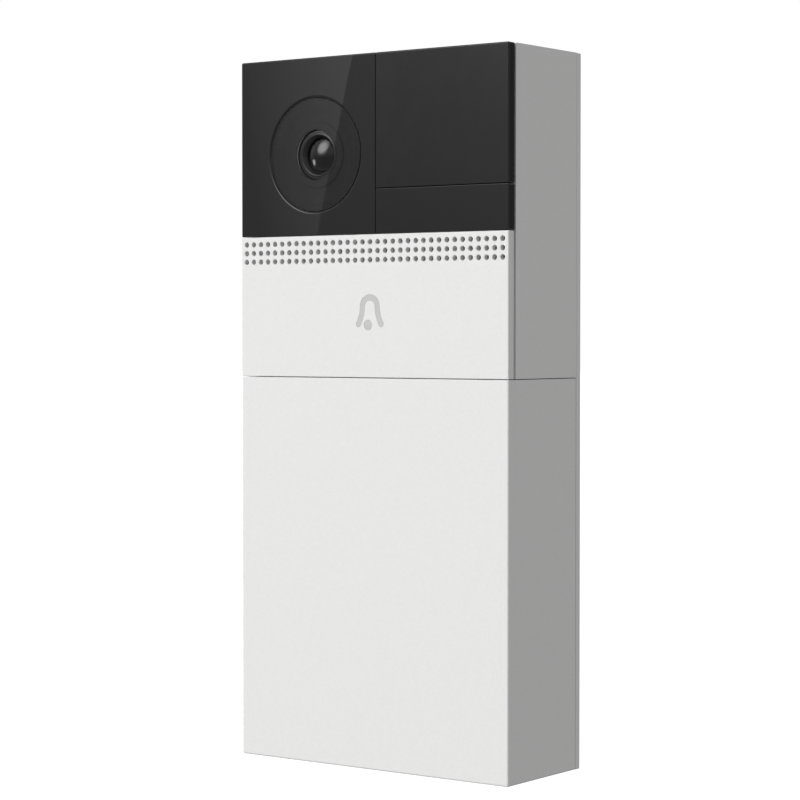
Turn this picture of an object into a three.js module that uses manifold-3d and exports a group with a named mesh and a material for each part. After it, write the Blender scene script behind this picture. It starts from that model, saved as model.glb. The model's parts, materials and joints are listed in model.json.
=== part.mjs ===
// A battery video doorbell for a wall beside a door, in millimetres.
// X is to the right seen from the front, +Y points into the wall and +Z is up.
// The origin is the centre of the wall face: the back of the mounting plate.
// A place is [x, z] and depths are [front y, back y], unless a comment says otherwise.
import * as THREE from "three";
import { mergeVertices } from "three/addons/utils/BufferGeometryUtils.js";
import Module from "manifold-3d";

const wasm = await Module();
wasm.setup();

// ---- Driving dimensions -------------------------------------------------------------------

const WIDTH = 69.6;
const HEIGHT = 150;
const DEPTH = 27.2;
const HALF = WIDTH / 2;
const TOP = HEIGHT / 2;
const BOTTOM = -HEIGHT / 2;
const FRONT = -DEPTH;
const WALL = 1.8; // moulded walls
const GAP = 0.3; // clearance between neighbours
const SEAT_GAP = 0.1; // between a part and the face that it rests on
const BITE = 0.5; // how far joined shapes run into each other
const AWAY = 100; // past the whole doorbell in every direction, for a cut that goes right through
const ROUND = 20; // sides of a round part
const SMALL_ROUND = 12; // sides of a small hole or pin
const TINY_ROUND = 8; // sides of a screw's shank

// Front to back: the wall plate, the shells in front of it, and the faces at the front.
const PLATE_THICK = 1.5;
const SHELL_BACK = -PLATE_THICK - GAP;
const SHELL_FRONT = -24.5;
const WINDOW_BACK = SHELL_FRONT - GAP;
const BUTTON_BACK = -25.2;
const CHASSIS_THICK = 1.9;
const CHASSIS_BACK = SHELL_FRONT + CHASSIS_THICK;
const INNER_BACK = SHELL_BACK - WALL;
const BOARD_BACK = -12.4;
const BOARD_FRONT = -13.6;

// Bottom to top: the battery cover, the seam, the bell button and the black windows.
const SEAM = 7.25;
const SEAM_GAP = 0.4;
const COVER_TOP = SEAM - SEAM_GAP / 2;
const SHELL_BOTTOM = SEAM + SEAM_GAP / 2;
const BUTTON_TOP = 37.25;
const WINDOW_BOTTOM = 37.55;
const WINDOW_SPLIT_X = 1.4; // between the camera window and the two right-hand windows
const WINDOW_SPLIT_Z = 46.75; // between the motion window and the sensor window
const SPLIT_GAP = 0.3;

// The camera, on an axis of its own.
const LENS_AT = [-14.6, 54.4];
const BEZEL_HOLE_R = 12.3;
const BEZEL_R = 12.05;
const LENS_OPENING_R = 5.3;
const BARREL_R = 4.9;
const BARREL_FRONT = -26;

// The grille above the bell sign: rows and columns of round holes.
const GRILLE_COLUMNS = 35;
const GRILLE_PITCH_X = 1.963;
const GRILLE_ROWS = [31.9, 33.775, 35.65];
const GRILLE_HOLE_R = 0.55;

// The battery bay.
const CELL_R = 9.2;
const CELL_LENGTH = 65.2;
const CELL_PITCH = 19.6;
const CELL_XS = [-CELL_PITCH, 0, CELL_PITCH];
const CELL_Y = -14.6;
const CELL_BOTTOM = -66.4;
const TRAY_HALF = HALF - WALL - 0.4;
const TRAY_TOP = SHELL_BOTTOM - GAP;
const TRAY_BOTTOM = BOTTOM + WALL + 0.6;
const TRAY_FRONT = -24;
const BAY_TOP = -0.2;
const BAY_BOTTOM = -71;

// The four hooks of the wall plate, by their lowest points. The body hangs on them and lifts off upwards.
const HIGH_HOOKS = [[-15, 50], [15, 50]];
const LOW_HOOKS = [[-CELL_PITCH / 2, -48], [CELL_PITCH / 2, -48]];
const HOOK_WIDTH = 3.6;
const HOOK_STEM = 2;
const HOOK_LIP = 4;
const HOOK_DEPTH = -5.2;
const HOOK_LIP_BACK = -4;
const HOOK_ROOM = 0.4; // clearance round a hook
const LIFT = 5; // how far the body rises before the hooks come free

const BUTTON_TRAVEL = 0.5;
const SWITCH_AT = [0, 13];
const SECURITY_Y = -21.6; // the screw that locks the cover, at x = 0

// ---- Solids --------------------------------------------------------------------------------

// A closed three.js geometry as a solid that can be cut and joined.
function solid(geometry) {
  const bare = geometry.clone();
  bare.deleteAttribute("normal");
  bare.deleteAttribute("uv");
  const merged = mergeVertices(bare, 1e-4);
  return new wasm.Manifold(new wasm.Mesh({
    numProp: 3,
    vertProperties: new Float32Array(merged.attributes.position.array),
    triVerts: new Uint32Array(merged.index.array),
  }));
}

// A block between two limits along each axis.
function block([x0, x1], [y0, y1], [z0, z1]) {
  const box = new THREE.BoxGeometry(Math.abs(x1 - x0), Math.abs(y1 - y0), Math.abs(z1 - z0));
  return solid(box.translate((x0 + x1) / 2, (y0 + y1) / 2, (z0 + z1) / 2));
}

// A round bar along Y, centred on a place.
function barY(radius, [x, z], [y0, y1], sides = ROUND) {
  const bar = new THREE.CylinderGeometry(radius, radius, Math.abs(y1 - y0), sides);
  return solid(bar.translate(x, (y0 + y1) / 2, z));
}

// A round bar along Z, centred on (x, y).
function barZ(radius, [x, y], [z0, z1], sides = ROUND) {
  const bar = new THREE.CylinderGeometry(radius, radius, Math.abs(z1 - z0), sides);
  return solid(bar.rotateX(Math.PI / 2).translate(x, y, (z0 + z1) / 2));
}

// A part turned about the Y axis. The profile is [radius, y] pairs, back to front.
function turnedY(profile, sides) {
  const points = profile.map(([radius, y]) => new THREE.Vector2(radius, y)).reverse();
  return solid(new THREE.LatheGeometry(points, sides));
}

// Profile points of a dome bulging forwards from an edge, leaving out its rim and its middle.
function dome(radius, edge, crown) {
  return [0.95, 0.75, 0.5, 0.25].map((part) => [radius * part, edge - crown * (1 - part * part)]);
}

// A plate with an outline drawn in X and Z, between two depths.
function plateXZ(shape, [y0, y1], curveSegments = 5) {
  const depth = Math.abs(y1 - y0);
  const plate = new THREE.ExtrudeGeometry(shape, { depth, bevelEnabled: false, curveSegments });
  return solid(plate.rotateX(Math.PI / 2).translate(0, Math.max(y0, y1), 0));
}

const join = (first, ...others) => others.reduce((whole, other) => whole.add(other), first);
const cut = (first, ...others) => others.reduce((whole, other) => whole.subtract(other), first);
const span = (middle, half) => [middle - half, middle + half];

// A block of a width and height, centred on the Y axis.
const slab = (width, height, depths) => block(span(0, width / 2), depths, span(0, height / 2));

const AXIS = [0, 0];
const THROUGH = [-AWAY, AWAY];
const toFront = (y) => [-AWAY, y];
const toBack = (y) => [y, AWAY];

// ---- Wall plate ----------------------------------------------------------------------------

const WALL_SCREW_XS = [-22, 22];
const WALL_SCREW_ZS = [-64, 64];
const WALL_SCREW_R = 2.1;
const WALL_SCREW_SLOT = 9;

// An upright slot with round ends, right through the plate.
function wallScrewSlot(x, z) {
  const reach = WALL_SCREW_SLOT / 2 - WALL_SCREW_R;
  const slot = new THREE.Shape();
  slot.absarc(x, z + reach, WALL_SCREW_R, 0, Math.PI, false);
  slot.absarc(x, z - reach, WALL_SCREW_R, Math.PI, Math.PI * 2, false);
  return plateXZ(slot, THROUGH);
}

// A hook with its stem through the body's back wall and its lip pointing up behind that wall.
function hook([x, z]) {
  const across = span(x, HOOK_WIDTH / 2);
  const stem = block(across, [HOOK_DEPTH, -PLATE_THICK + BITE], [z, z + HOOK_STEM]);
  const lip = block(across, [HOOK_DEPTH, HOOK_LIP_BACK], [z, z + HOOK_STEM + HOOK_LIP]);
  return stem.add(lip);
}

function mountingPlate() {
  const plate = block([-HALF, HALF], [-PLATE_THICK, 0], [BOTTOM, TOP]);
  const slots = WALL_SCREW_XS.flatMap((x) => WALL_SCREW_ZS.map((z) => wallScrewSlot(x, z)));
  return join(cut(plate, ...slots), ...[...HIGH_HOOKS, ...LOW_HOOKS].map(hook));
}

// The way through the back wall for one hook, and the room behind it for its lip.
function hookPocket([x, z], depth) {
  const across = span(x, HOOK_WIDTH / 2 + HOOK_ROOM);
  const low = z - LIFT - HOOK_ROOM;
  const mouth = block(across, [depth, SHELL_BACK + BITE], [low, z + HOOK_STEM + GAP]);
  const room = block(across, [depth, INNER_BACK], [low, z + HOOK_STEM + HOOK_LIP + HOOK_ROOM]);
  return mouth.add(room);
}

// ---- Screws ----------------------------------------------------------------------------------

const CHASSIS_SCREW = { headR: 2, headHeight: 0.7, shankR: 0.8, length: 8 };
const CHASSIS_SCREW_Y = SHELL_FRONT + 0.05;
const BOARD_SCREW = { headR: 1.9, headHeight: 1.1, shankR: 0.8, length: 7 };
const BOARD_SCREW_Y = -14.8;
const CROSS_REACH = 0.6; // the cross recess, as parts of the head's radius
const CROSS_WIDTH = 0.12;

// A cross-recessed screw on the Y axis, pointing back, with the front of its head at y = 0.
function screw({ headR, headHeight, shankR, length }) {
  const head = barY(headR, AXIS, [0, headHeight], SMALL_ROUND);
  const shank = barY(shankR, AXIS, [headHeight / 2, length], TINY_ROUND);
  const recess = toFront(headHeight / 2);
  const across = slab(2 * headR * CROSS_REACH, 2 * headR * CROSS_WIDTH, recess);
  const upright = slab(2 * headR * CROSS_WIDTH, 2 * headR * CROSS_REACH, recess);
  return cut(head.add(shank), across, upright);
}

// ---- Upper housing and chassis ---------------------------------------------------------------

const BOSS_R = 2.6;
const BOSS_PLACES = [[-29.6, 12.8], [29.6, 12.8], [-29.6, 69.6], [29.6, 69.6]];
const BOSS_PILOT_END = -15;
const POST_R = 2.2;
const POST_PLACES = [[-23, 15], [23, 13], [-23, 67], [23, 67]];
const POST_PILOT_END = -6;
const PILOT_R = 1.1; // holes that the screws cut their threads in
const SCREW_HOLE_R = 1.3;

// A tub, open at the front, with screw bosses for the chassis and posts for the main board.
function upperHousing() {
  const outside = block([-HALF, HALF], [SHELL_FRONT, SHELL_BACK], [SHELL_BOTTOM, TOP]);
  const inside = block(
    span(0, HALF - WALL), toFront(INNER_BACK), [SHELL_BOTTOM + WALL, TOP - WALL]);
  const root = INNER_BACK + BITE;
  const bosses = BOSS_PLACES.map((at) => barY(BOSS_R, at, [CHASSIS_BACK + GAP, root], SMALL_ROUND));
  const posts = POST_PLACES.map((at) => barY(POST_R, at, [BOARD_BACK + GAP, root], SMALL_ROUND));
  const bossHoles = BOSS_PLACES.map((at) => barY(PILOT_R, at, toFront(BOSS_PILOT_END), TINY_ROUND));
  const postHoles = POST_PLACES.map((at) => barY(PILOT_R, at, toFront(POST_PILOT_END), TINY_ROUND));
  const hookWays = HIGH_HOOKS.map((at) => hookPocket(at, INNER_BACK - 1));
  return cut(join(cut(outside, inside), ...bosses, ...posts), ...bossHoles, ...postHoles, ...hookWays);
}

const CHASSIS_SIDE = HALF - WALL - GAP;
const CHASSIS_LOW = SHELL_BOTTOM + WALL + GAP;
const CHASSIS_HIGH = TOP - WALL - GAP;
const SCREW_SEAT_R = 2.3;
const SCREW_SEAT_Y = -23.65;
const GASKET_WIDTH = 0.9;
const GASKET_FRONT = -23.5;
const MOTION_AT = [18.2, 61];
const MOTION_HOLE_R = 5.6;
const LAMP_PLACES = [[9.5, 42.2], [27, 42.2]];
const LAMP_HOLE_R = 3.1;
const LIGHT_SENSOR_AT = [18.2, 42.2];
const LIGHT_HOLE_R = 2;
const PRESS_HOLE_R = 2.2; // for the post behind the bell button
const SOUND_SLOT_X = [-31, 31];
const SOUND_SLOT_Z = [30.8, 36.8];
const CLIP_PLACES = [[-29, 17.5], [29, 17.5], [-29, 27.5], [29, 27.5]];
const CLIP_WIDTH = 2.4;
const CLIP_HEIGHT = 1.4;
const CLIP_BARB = 0.7;
const CLIP_END = -21.4;

// One clip leg of the button, pointing back. Its barb faces away from the middle.
function clipLeg([x, z]) {
  const out = Math.sign(x);
  const high = span(z, CLIP_HEIGHT / 2);
  const leg = block(span(x, CLIP_WIDTH / 2), [BUTTON_BACK - BITE, CLIP_END], high);
  const tip = x + out * (CLIP_WIDTH / 2 + CLIP_BARB);
  const barb = block([x, tip], [CHASSIS_BACK + GAP, CLIP_END], high);
  return leg.add(barb);
}

function clipSlot([x, z]) {
  const out = Math.sign(x);
  const inner = x - out * (CLIP_WIDTH / 2 + GAP);
  const outer = x + out * (CLIP_WIDTH / 2 + CLIP_BARB + GAP);
  return block([inner, outer], THROUGH, span(z, CLIP_HEIGHT / 2 + GAP));
}

// A flat ring with square corners, as deep as its two depths.
function frameRing(side, low, high, width, depths) {
  const outside = block([-side, side], depths, [low, high]);
  const inside = block(span(0, side - width), THROUGH, [low + width, high - width]);
  return outside.subtract(inside);
}

// The plate that the windows are bonded to and the button clips into, with a rebate for its gasket.
function frontChassis() {
  const plate = block(
    [-CHASSIS_SIDE, CHASSIS_SIDE], [SHELL_FRONT, CHASSIS_BACK], [CHASSIS_LOW, CHASSIS_HIGH]);
  const past = 1;
  const rebate = frameRing(CHASSIS_SIDE + past, CHASSIS_LOW - past, CHASSIS_HIGH + past,
    GASKET_WIDTH + SEAT_GAP + past, toBack(GASKET_FRONT));
  const screwHoles = BOSS_PLACES.map((at) => barY(SCREW_HOLE_R, at, THROUGH, SMALL_ROUND));
  const screwSeats = BOSS_PLACES.map((at) => barY(SCREW_SEAT_R, at, toFront(SCREW_SEAT_Y), SMALL_ROUND));
  const lampHoles = LAMP_PLACES.map((at) => barY(LAMP_HOLE_R, at, THROUGH, SMALL_ROUND));
  return cut(plate, rebate, ...screwHoles, ...screwSeats, ...lampHoles,
    block(SOUND_SLOT_X, THROUGH, SOUND_SLOT_Z),
    barY(BARREL_R + BITE, LENS_AT, THROUGH),
    barY(MOTION_HOLE_R, MOTION_AT, THROUGH),
    barY(LIGHT_HOLE_R, LIGHT_SENSOR_AT, THROUGH, SMALL_ROUND),
    barY(PRESS_HOLE_R, SWITCH_AT, THROUGH, SMALL_ROUND),
    ...CLIP_PLACES.map(clipSlot));
}

const chassisGasket = () => frameRing(CHASSIS_SIDE, CHASSIS_LOW, CHASSIS_HIGH,
  GASKET_WIDTH - SEAT_GAP, [GASKET_FRONT + SEAT_GAP, CHASSIS_BACK]);

// ---- Windows ---------------------------------------------------------------------------------

const WINDOW_DEPTHS = [FRONT, WINDOW_BACK];
const RIGHT_WINDOWS_X = [WINDOW_SPLIT_X + SPLIT_GAP / 2, HALF];
const CIRCLE_SIDES = 32; // sides of the large circle round the lens

function cameraWindow() {
  const pane = block([-HALF, WINDOW_SPLIT_X - SPLIT_GAP / 2], WINDOW_DEPTHS, [WINDOW_BOTTOM, TOP]);
  return pane.subtract(barY(BEZEL_HOLE_R, LENS_AT, THROUGH, CIRCLE_SIDES));
}

const motionWindow = () =>
  block(RIGHT_WINDOWS_X, WINDOW_DEPTHS, [WINDOW_SPLIT_Z + SPLIT_GAP / 2, TOP]);

const sensorWindow = () =>
  block(RIGHT_WINDOWS_X, WINDOW_DEPTHS, [WINDOW_BOTTOM, WINDOW_SPLIT_Z - SPLIT_GAP / 2]);

// ---- Camera, built about the lens axis ---------------------------------------------------------

const COVER_DEPTHS = [FRONT + 0.05, FRONT + 0.75];
const BEZEL_FRONT = COVER_DEPTHS[1] + GAP;
const DISH_DEPTH = 0.6;
const RIM_INNER_R = 10.2;
const DISH_R = 8.7;
const LIP_OUTER_R = 7.1;
const OPENING_CHAMFER = 0.2;

// The disc in front of the bezel, nearly flush with the window: clear over the lens, smoked round it.
const lensCover = () => barY(BEZEL_R, AXIS, COVER_DEPTHS, CIRCLE_SIDES);

// The dished ring round the lens: a flat rim, a cone inwards, and a lip level with the rim.
function lensBezel() {
  const floor = BEZEL_FRONT + DISH_DEPTH;
  return turnedY([
    [LENS_OPENING_R, WINDOW_BACK],
    [BEZEL_R, WINDOW_BACK],
    [BEZEL_R, BEZEL_FRONT],
    [RIM_INNER_R, BEZEL_FRONT],
    [DISH_R, floor],
    [LIP_OUTER_R, floor],
    [LIP_OUTER_R - 0.2, BEZEL_FRONT],
    [LENS_OPENING_R + OPENING_CHAMFER, BEZEL_FRONT],
    [LENS_OPENING_R, BEZEL_FRONT + OPENING_CHAMFER],
    [LENS_OPENING_R, WINDOW_BACK],
  ], CIRCLE_SIDES);
}

const BARREL_BACK = -18.2;
const BARREL_SIDES = 24;
const BARREL_RIM_R = 4.5;
const LIGHT_WAY_R = 2.4;
const LENS_R = 3.6;
const LENS_CROWN = 1.1;
const LENS_EDGE = BARREL_FRONT + 0.9;
const LENS_BACK = BARREL_FRONT + 1.8;

// The threaded barrel, dished at the front round the glass, with a light way to the sensor.
function lensBarrel() {
  return turnedY([
    [LIGHT_WAY_R, BARREL_BACK],
    [BARREL_R, BARREL_BACK],
    [BARREL_R, BARREL_FRONT],
    [BARREL_RIM_R, BARREL_FRONT],
    [LENS_R + 0.4, LENS_EDGE - GAP],
    [LENS_R + 0.2, LENS_BACK + 0.2],
    [LIGHT_WAY_R, LENS_BACK + 0.4],
    [LIGHT_WAY_R, BARREL_BACK],
  ], BARREL_SIDES);
}

// The front lens: a flat back and a domed front.
function lensGlass() {
  return turnedY([
    [0, LENS_BACK],
    [LENS_R, LENS_BACK],
    [LENS_R, LENS_EDGE],
    ...dome(LENS_R, LENS_EDGE, LENS_CROWN),
    [0, LENS_EDGE - LENS_CROWN],
  ], BARREL_SIDES);
}

const CAMERA_BOARD = { width: 22, height: 16, depths: [-16, -15] };
const HOLDER_BACK = CAMERA_BOARD.depths[0] - SEAT_GAP;
const HOLDER = { width: 20, height: 14, depths: [-19, HOLDER_BACK] };
const NECK_R = 6.4;
const NECK_FRONT = -22.2;
const SENSOR = { width: 6, height: 5, depths: [-16.8, HOLDER_BACK] };
const FILTER = { width: 6.2, height: 6.2, depths: [-17.6, -17.1] };
const FILTER_TRAVEL = 5; // sideways, to clear the sensor at night
const FILTER_ROOM = { width: FILTER.width + 2 * FILTER_TRAVEL + 1.4, height: 11.2, front: -17.9 };

const centred = ({ width, height, depths }) => slab(width, height, depths);

// The block that holds the barrel in front of the sensor, hollow where the filter slides.
function lensHolder() {
  const neck = barY(NECK_R, AXIS, [NECK_FRONT, HOLDER.depths[0] + BITE]);
  const room = slab(FILTER_ROOM.width, FILTER_ROOM.height, toBack(FILTER_ROOM.front));
  const bore = barY(BARREL_R + GAP, AXIS, toFront(FILTER_ROOM.front + BITE));
  return cut(centred(HOLDER).add(neck), room, bore);
}

// ---- Bell button -----------------------------------------------------------------------------

const ARCH_Z = 22.13; // centre of the round top of the bell sign
const BELL_OUTER_R = 2.62;
const BELL_INNER_R = 1.27;
const FOOT_Z = 18.3;
const FOOT_OUTER = 3.62;
const FOOT_INNER = 2.35;
const FOOT_FLARE = 1.2; // height over which the legs turn outwards
const CLAPPER_AT = [-0.5, 18.3];
const CLAPPER_R = 1.05;
const SIGN_ROOM = 0.15; // clearance round the sign
const GUIDE_R = 5.2;
const GUIDE_AT = [0, 21.2];
const GUIDE_SEAT = -26.2; // floor of the pocket behind the sign
const SIGN_FRONT = FRONT + 0.05;
const PRESS_POST_R = 1.6;
const PRESS_POST_END = -22.3;
const GRILLE_SIDES = 6;

// The bell's outline: a round arch whose two legs flare out to feet. It grows by a margin all round.
function bellOutline(margin) {
  const outer = BELL_OUTER_R + margin;
  const inner = BELL_INNER_R - margin;
  const foot = FOOT_Z - margin;
  const footOuter = FOOT_OUTER + margin;
  const footInner = FOOT_INNER - margin;
  const flare = foot + FOOT_FLARE;
  const bell = new THREE.Shape();
  bell.moveTo(footInner, foot);
  bell.lineTo(footOuter, foot);
  bell.quadraticCurveTo(outer, flare, outer, ARCH_Z);
  bell.absarc(0, ARCH_Z, outer, 0, Math.PI, false);
  bell.quadraticCurveTo(-outer, flare, -footOuter, foot);
  bell.lineTo(-footInner, foot);
  bell.quadraticCurveTo(-inner, flare, -inner, ARCH_Z);
  bell.absarc(0, ARCH_Z, inner, Math.PI, 0, true);
  bell.quadraticCurveTo(inner, flare, footInner, foot);
  return bell;
}

function bellSign(margin, depths) {
  const bell = plateXZ(bellOutline(margin), depths);
  return bell.add(barY(CLAPPER_R + margin, CLAPPER_AT, depths, SMALL_ROUND));
}

function grilleHoles() {
  const first = -(GRILLE_COLUMNS - 1) / 2;
  const columns = Array.from({ length: GRILLE_COLUMNS }, (_, i) => (first + i) * GRILLE_PITCH_X);
  return GRILLE_ROWS.flatMap((z) =>
    columns.map((x) => barY(GRILLE_HOLE_R, [x, z], THROUGH, GRILLE_SIDES)));
}

function bellButton() {
  const plate = block([-HALF, HALF], [FRONT, BUTTON_BACK], [SHELL_BOTTOM, BUTTON_TOP]);
  const pressPost = barY(PRESS_POST_R, SWITCH_AT, [BUTTON_BACK - BITE, PRESS_POST_END], SMALL_ROUND);
  const pocket = barY(GUIDE_R + 0.2, GUIDE_AT, toBack(GUIDE_SEAT));
  const sign = bellSign(SIGN_ROOM, toFront(GUIDE_SEAT + BITE));
  const body = join(cut(plate, pocket, sign, ...grilleHoles()), pressPost);
  return join(body, ...CLIP_PLACES.map(clipLeg));
}

// The light guide: a disc in the pocket behind the plate, with the bell sign standing on it.
function bellLightGuide() {
  const disc = barY(GUIDE_R, GUIDE_AT, [GUIDE_SEAT + SEAT_GAP, BUTTON_BACK - SEAT_GAP]);
  return disc.add(bellSign(0, [SIGN_FRONT, GUIDE_SEAT + BITE]));
}

// ---- Bell switch, built about its plunger -------------------------------------------------------

const SWITCH_SIZE = 6;
const SWITCH_FRONT = -17.2;
const SWITCH_BORE_END = -15.1;
const PLUNGER_R = 1.75;
const PLUNGER_FRONT = PRESS_POST_END + SEAT_GAP;

function switchBody() {
  const body = slab(SWITCH_SIZE, SWITCH_SIZE, [SWITCH_FRONT, BOARD_FRONT - SEAT_GAP]);
  return body.subtract(barY(PLUNGER_R + GAP, AXIS, toFront(SWITCH_BORE_END), SMALL_ROUND));
}

const switchPlunger = () =>
  barY(PLUNGER_R, AXIS, [PLUNGER_FRONT, SWITCH_BORE_END - BUTTON_TRAVEL - 0.2], SMALL_ROUND);

// ---- Sensors, each built about its own axis -----------------------------------------------------

const BOARD_SEAT = BOARD_FRONT - SEAT_GAP; // where parts stand on the main board
const MOTION = { flangeR: 4.6, flangeFront: -15, canR: 4.1, canFront: -18.4 };
const LAMP = { flangeR: 2.9, flangeFront: -14.8, r: 2.5, edge: -21.6, crown: 2.2 };
const LIGHT_SENSOR = { r: 1.6, front: -21.5 };

// A metal can on a wider flange, facing forwards.
function motionSensor() {
  const flange = barY(MOTION.flangeR, AXIS, [MOTION.flangeFront, BOARD_SEAT]);
  return flange.add(barY(MOTION.canR, AXIS, [MOTION.canFront, MOTION.flangeFront + BITE]));
}

// A clear lamp with a domed front on a small flange.
function infraredLamp() {
  return turnedY([
    [0, BOARD_SEAT - SEAT_GAP],
    [LAMP.flangeR, BOARD_SEAT - SEAT_GAP],
    [LAMP.flangeR, LAMP.flangeFront],
    [LAMP.r, LAMP.flangeFront],
    [LAMP.r, LAMP.edge],
    ...dome(LAMP.r, LAMP.edge, LAMP.crown),
    [0, LAMP.edge - LAMP.crown],
  ], SMALL_ROUND);
}

const lightSensor = () =>
  barY(LIGHT_SENSOR.r, AXIS, [LIGHT_SENSOR.front, BOARD_SEAT - SEAT_GAP], SMALL_ROUND);

// ---- Sound, each part built about its own axis --------------------------------------------------

const SPEAKER_AT = [14.5, 27];
const SPEAKER_R = 9.4;
const SPEAKER_SIDES = 24;
const BASKET = { front: -20.6, floor: -18.2, back: -17.4, wall: 1, hole: 5.4 };
const MAGNET = { r: 5, depths: [-18.3, -14.2] };
const CONE = { r: 8.1, neckR: 4.2, capR: 2.6, back: -18.7, cap: -20.2 };
const PAPER = 0.45; // thickness of the cone
const SPEAKER_GASKET = { wall: 1.2, depths: [-22.3, -20.8] };
const MIC_AT = [-24, 33.8];
const MIC = { r: 2, depths: [-21, -19] };
const BOOT = { r: 3.2, bore: 2.3, depths: [-22.3, -18], floor: -18.8 };

// A round basket, open at the front, whose back wall lets the magnet through.
function speakerFrame() {
  const cup = barY(SPEAKER_R, AXIS, [BASKET.front, BASKET.back], SPEAKER_SIDES);
  const bowl = barY(SPEAKER_R - BASKET.wall, AXIS, toFront(BASKET.floor), SPEAKER_SIDES);
  return cut(cup, bowl, barY(BASKET.hole, AXIS, THROUGH));
}

const speakerMagnet = () => barY(MAGNET.r, AXIS, MAGNET.depths);

// A thin paper cone with a round cap in its middle.
function speakerCone() {
  const rim = BASKET.front;
  return turnedY([
    [0, CONE.back],
    [CONE.neckR, CONE.back],
    [CONE.r, rim + PAPER],
    [CONE.r, rim],
    [CONE.neckR, CONE.back - PAPER],
    [CONE.capR, CONE.cap + PAPER],
    [0, CONE.cap],
  ], SPEAKER_SIDES);
}

function speakerGasket() {
  const ring = barY(SPEAKER_R, AXIS, SPEAKER_GASKET.depths, SPEAKER_SIDES);
  return ring.subtract(barY(SPEAKER_R - SPEAKER_GASKET.wall, AXIS, THROUGH, SPEAKER_SIDES));
}

function microphoneBoot() {
  const boot = barY(BOOT.r, AXIS, BOOT.depths, SMALL_ROUND);
  return boot.subtract(barY(BOOT.bore, AXIS, toFront(BOOT.floor), SMALL_ROUND));
}

const microphone = () => barY(MIC.r, AXIS, MIC.depths, SMALL_ROUND);

// ---- Main board ------------------------------------------------------------------------------

const BOARD_X = [-26.5, 26.5];
const BOARD_Z = [10, 71.2];
const BOARD_REAR = BOARD_BACK + SEAT_GAP; // where parts stand on the back of the board

function mainBoard() {
  const board = block(BOARD_X, [BOARD_FRONT, BOARD_BACK], BOARD_Z);
  return cut(board, ...POST_PLACES.map((at) => barY(SCREW_HOLE_R, at, THROUGH, SMALL_ROUND)));
}

const processorShield = () => block([-12, 8], [BOARD_REAR, -10.4], [32, 50]);
const wirelessModule = () => block([-9, 7], [BOARD_REAR, -9.8], [54, 68]);
const antenna = () => block([-16, 16], [-13, -7], [72.3, 72.8]);

// ---- Battery tray ----------------------------------------------------------------------------

const TROUGH_R = 9.5;
const TROUGH_SIDES = 32;
const TRAY_FLOOR_FRONT = -13;
const RIB = [-9.4, -8]; // depths of the cover's guide ribs
const RIB_REACH = 1.4;
const RIB_TOP = 4;
const GROOVE_ROOM = 0.4; // clearance beside a rib
const GROOVE_HEADROOM = 0.6; // and above it
const SEAL_Z = [5.5, 6.5];
const SEAL_BACK = -4.2;
const SEAL_PROUD = 0.2; // from the seal to the inside of the cover
const SEAL_ROOM = 0.2;
const SEAL_BITE = 0.7; // how deep the seal's band is cut
const SCREW_BOSS_R = 2.2;
const SCREW_BOSS_TOP = -67.2;
const SECURITY_END = -68.6;

// The service board and the sockets on it, under the upper housing.
const SERVICE_BOARD = { x: [-24, 20], y: [-21.8, -8], z: [1.3, 2.1] };
const SERVICE_ROOM = { x: [-26, 22], y: [-22.4, -5], bottom: 1 };
const SOCKETS_BOTTOM = SERVICE_BOARD.z[1] + SEAT_GAP;
const USB_X = -12;
const USB_WAY = { halfWidth: 4.2, z: [2.1, 5.1] };
const CARD_X = 3.5;
const CARD_WAY = { halfWidth: 6, z: [2.3, 4.2] };
const RESET_AT = [15.5, 3.55];
const RESET_WAY_R = 1.6;

// The room for the service board, open at the top, and its openings in the front wall.
function serviceRoom() {
  const frontWall = toFront(SERVICE_ROOM.y[0] + BITE);
  return join(
    block(SERVICE_ROOM.x, SERVICE_ROOM.y, [SERVICE_ROOM.bottom, AWAY]),
    block(span(USB_X, USB_WAY.halfWidth), frontWall, USB_WAY.z),
    block(span(CARD_X, CARD_WAY.halfWidth), frontWall, CARD_WAY.z),
    barY(RESET_WAY_R, RESET_AT, frontWall, SMALL_ROUND));
}

// A band round the front and sides that a seal sits in.
function sealBand() {
  const high = [SEAL_Z[0] - SEAL_ROOM, SEAL_Z[1] + SEAL_ROOM];
  const outside = block([-HALF, HALF], toFront(SEAL_BACK + SEAL_ROOM), high);
  return outside.subtract(block(span(0, TRAY_HALF - SEAL_BITE), toBack(TRAY_FRONT + SEAL_BITE), THROUGH));
}

function guideGroove(side) {
  const across = [side * (TRAY_HALF - RIB_REACH), side * HALF];
  const deep = [RIB[0] - GROOVE_ROOM, RIB[1] + GROOVE_ROOM];
  return block(across, deep, [-AWAY, RIB_TOP + GROOVE_HEADROOM]);
}

function batteryTray() {
  const sides = [-TRAY_HALF, TRAY_HALF];
  const floor = block(sides, [TRAY_FLOOR_FRONT, SHELL_BACK], [TRAY_BOTTOM, TRAY_TOP]);
  const topBlock = block(sides, [TRAY_FRONT, SHELL_BACK], [BAY_TOP, TRAY_TOP]);
  const bottomWall = block(sides, [TRAY_FRONT, SHELL_BACK], [TRAY_BOTTOM, BAY_BOTTOM]);
  const screwBoss = barZ(SCREW_BOSS_R, [0, SECURITY_Y], [BAY_BOTTOM - BITE, SCREW_BOSS_TOP], SMALL_ROUND);
  const screwHole = barZ(SCREW_HOLE_R, [0, SECURITY_Y], [BOTTOM, SECURITY_END + 0.7], SMALL_ROUND);
  const troughs = CELL_XS.map((x) =>
    barZ(TROUGH_R, [x, CELL_Y], [BAY_BOTTOM, BAY_TOP], TROUGH_SIDES));
  const shell = join(cut(floor, ...troughs), topBlock, bottomWall, screwBoss);
  return cut(shell, guideGroove(-1), guideGroove(1), screwHole, serviceRoom(), sealBand(),
    ...LOW_HOOKS.map((at) => hookPocket(at, HOOK_DEPTH - 2 * HOOK_ROOM)));
}

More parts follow.
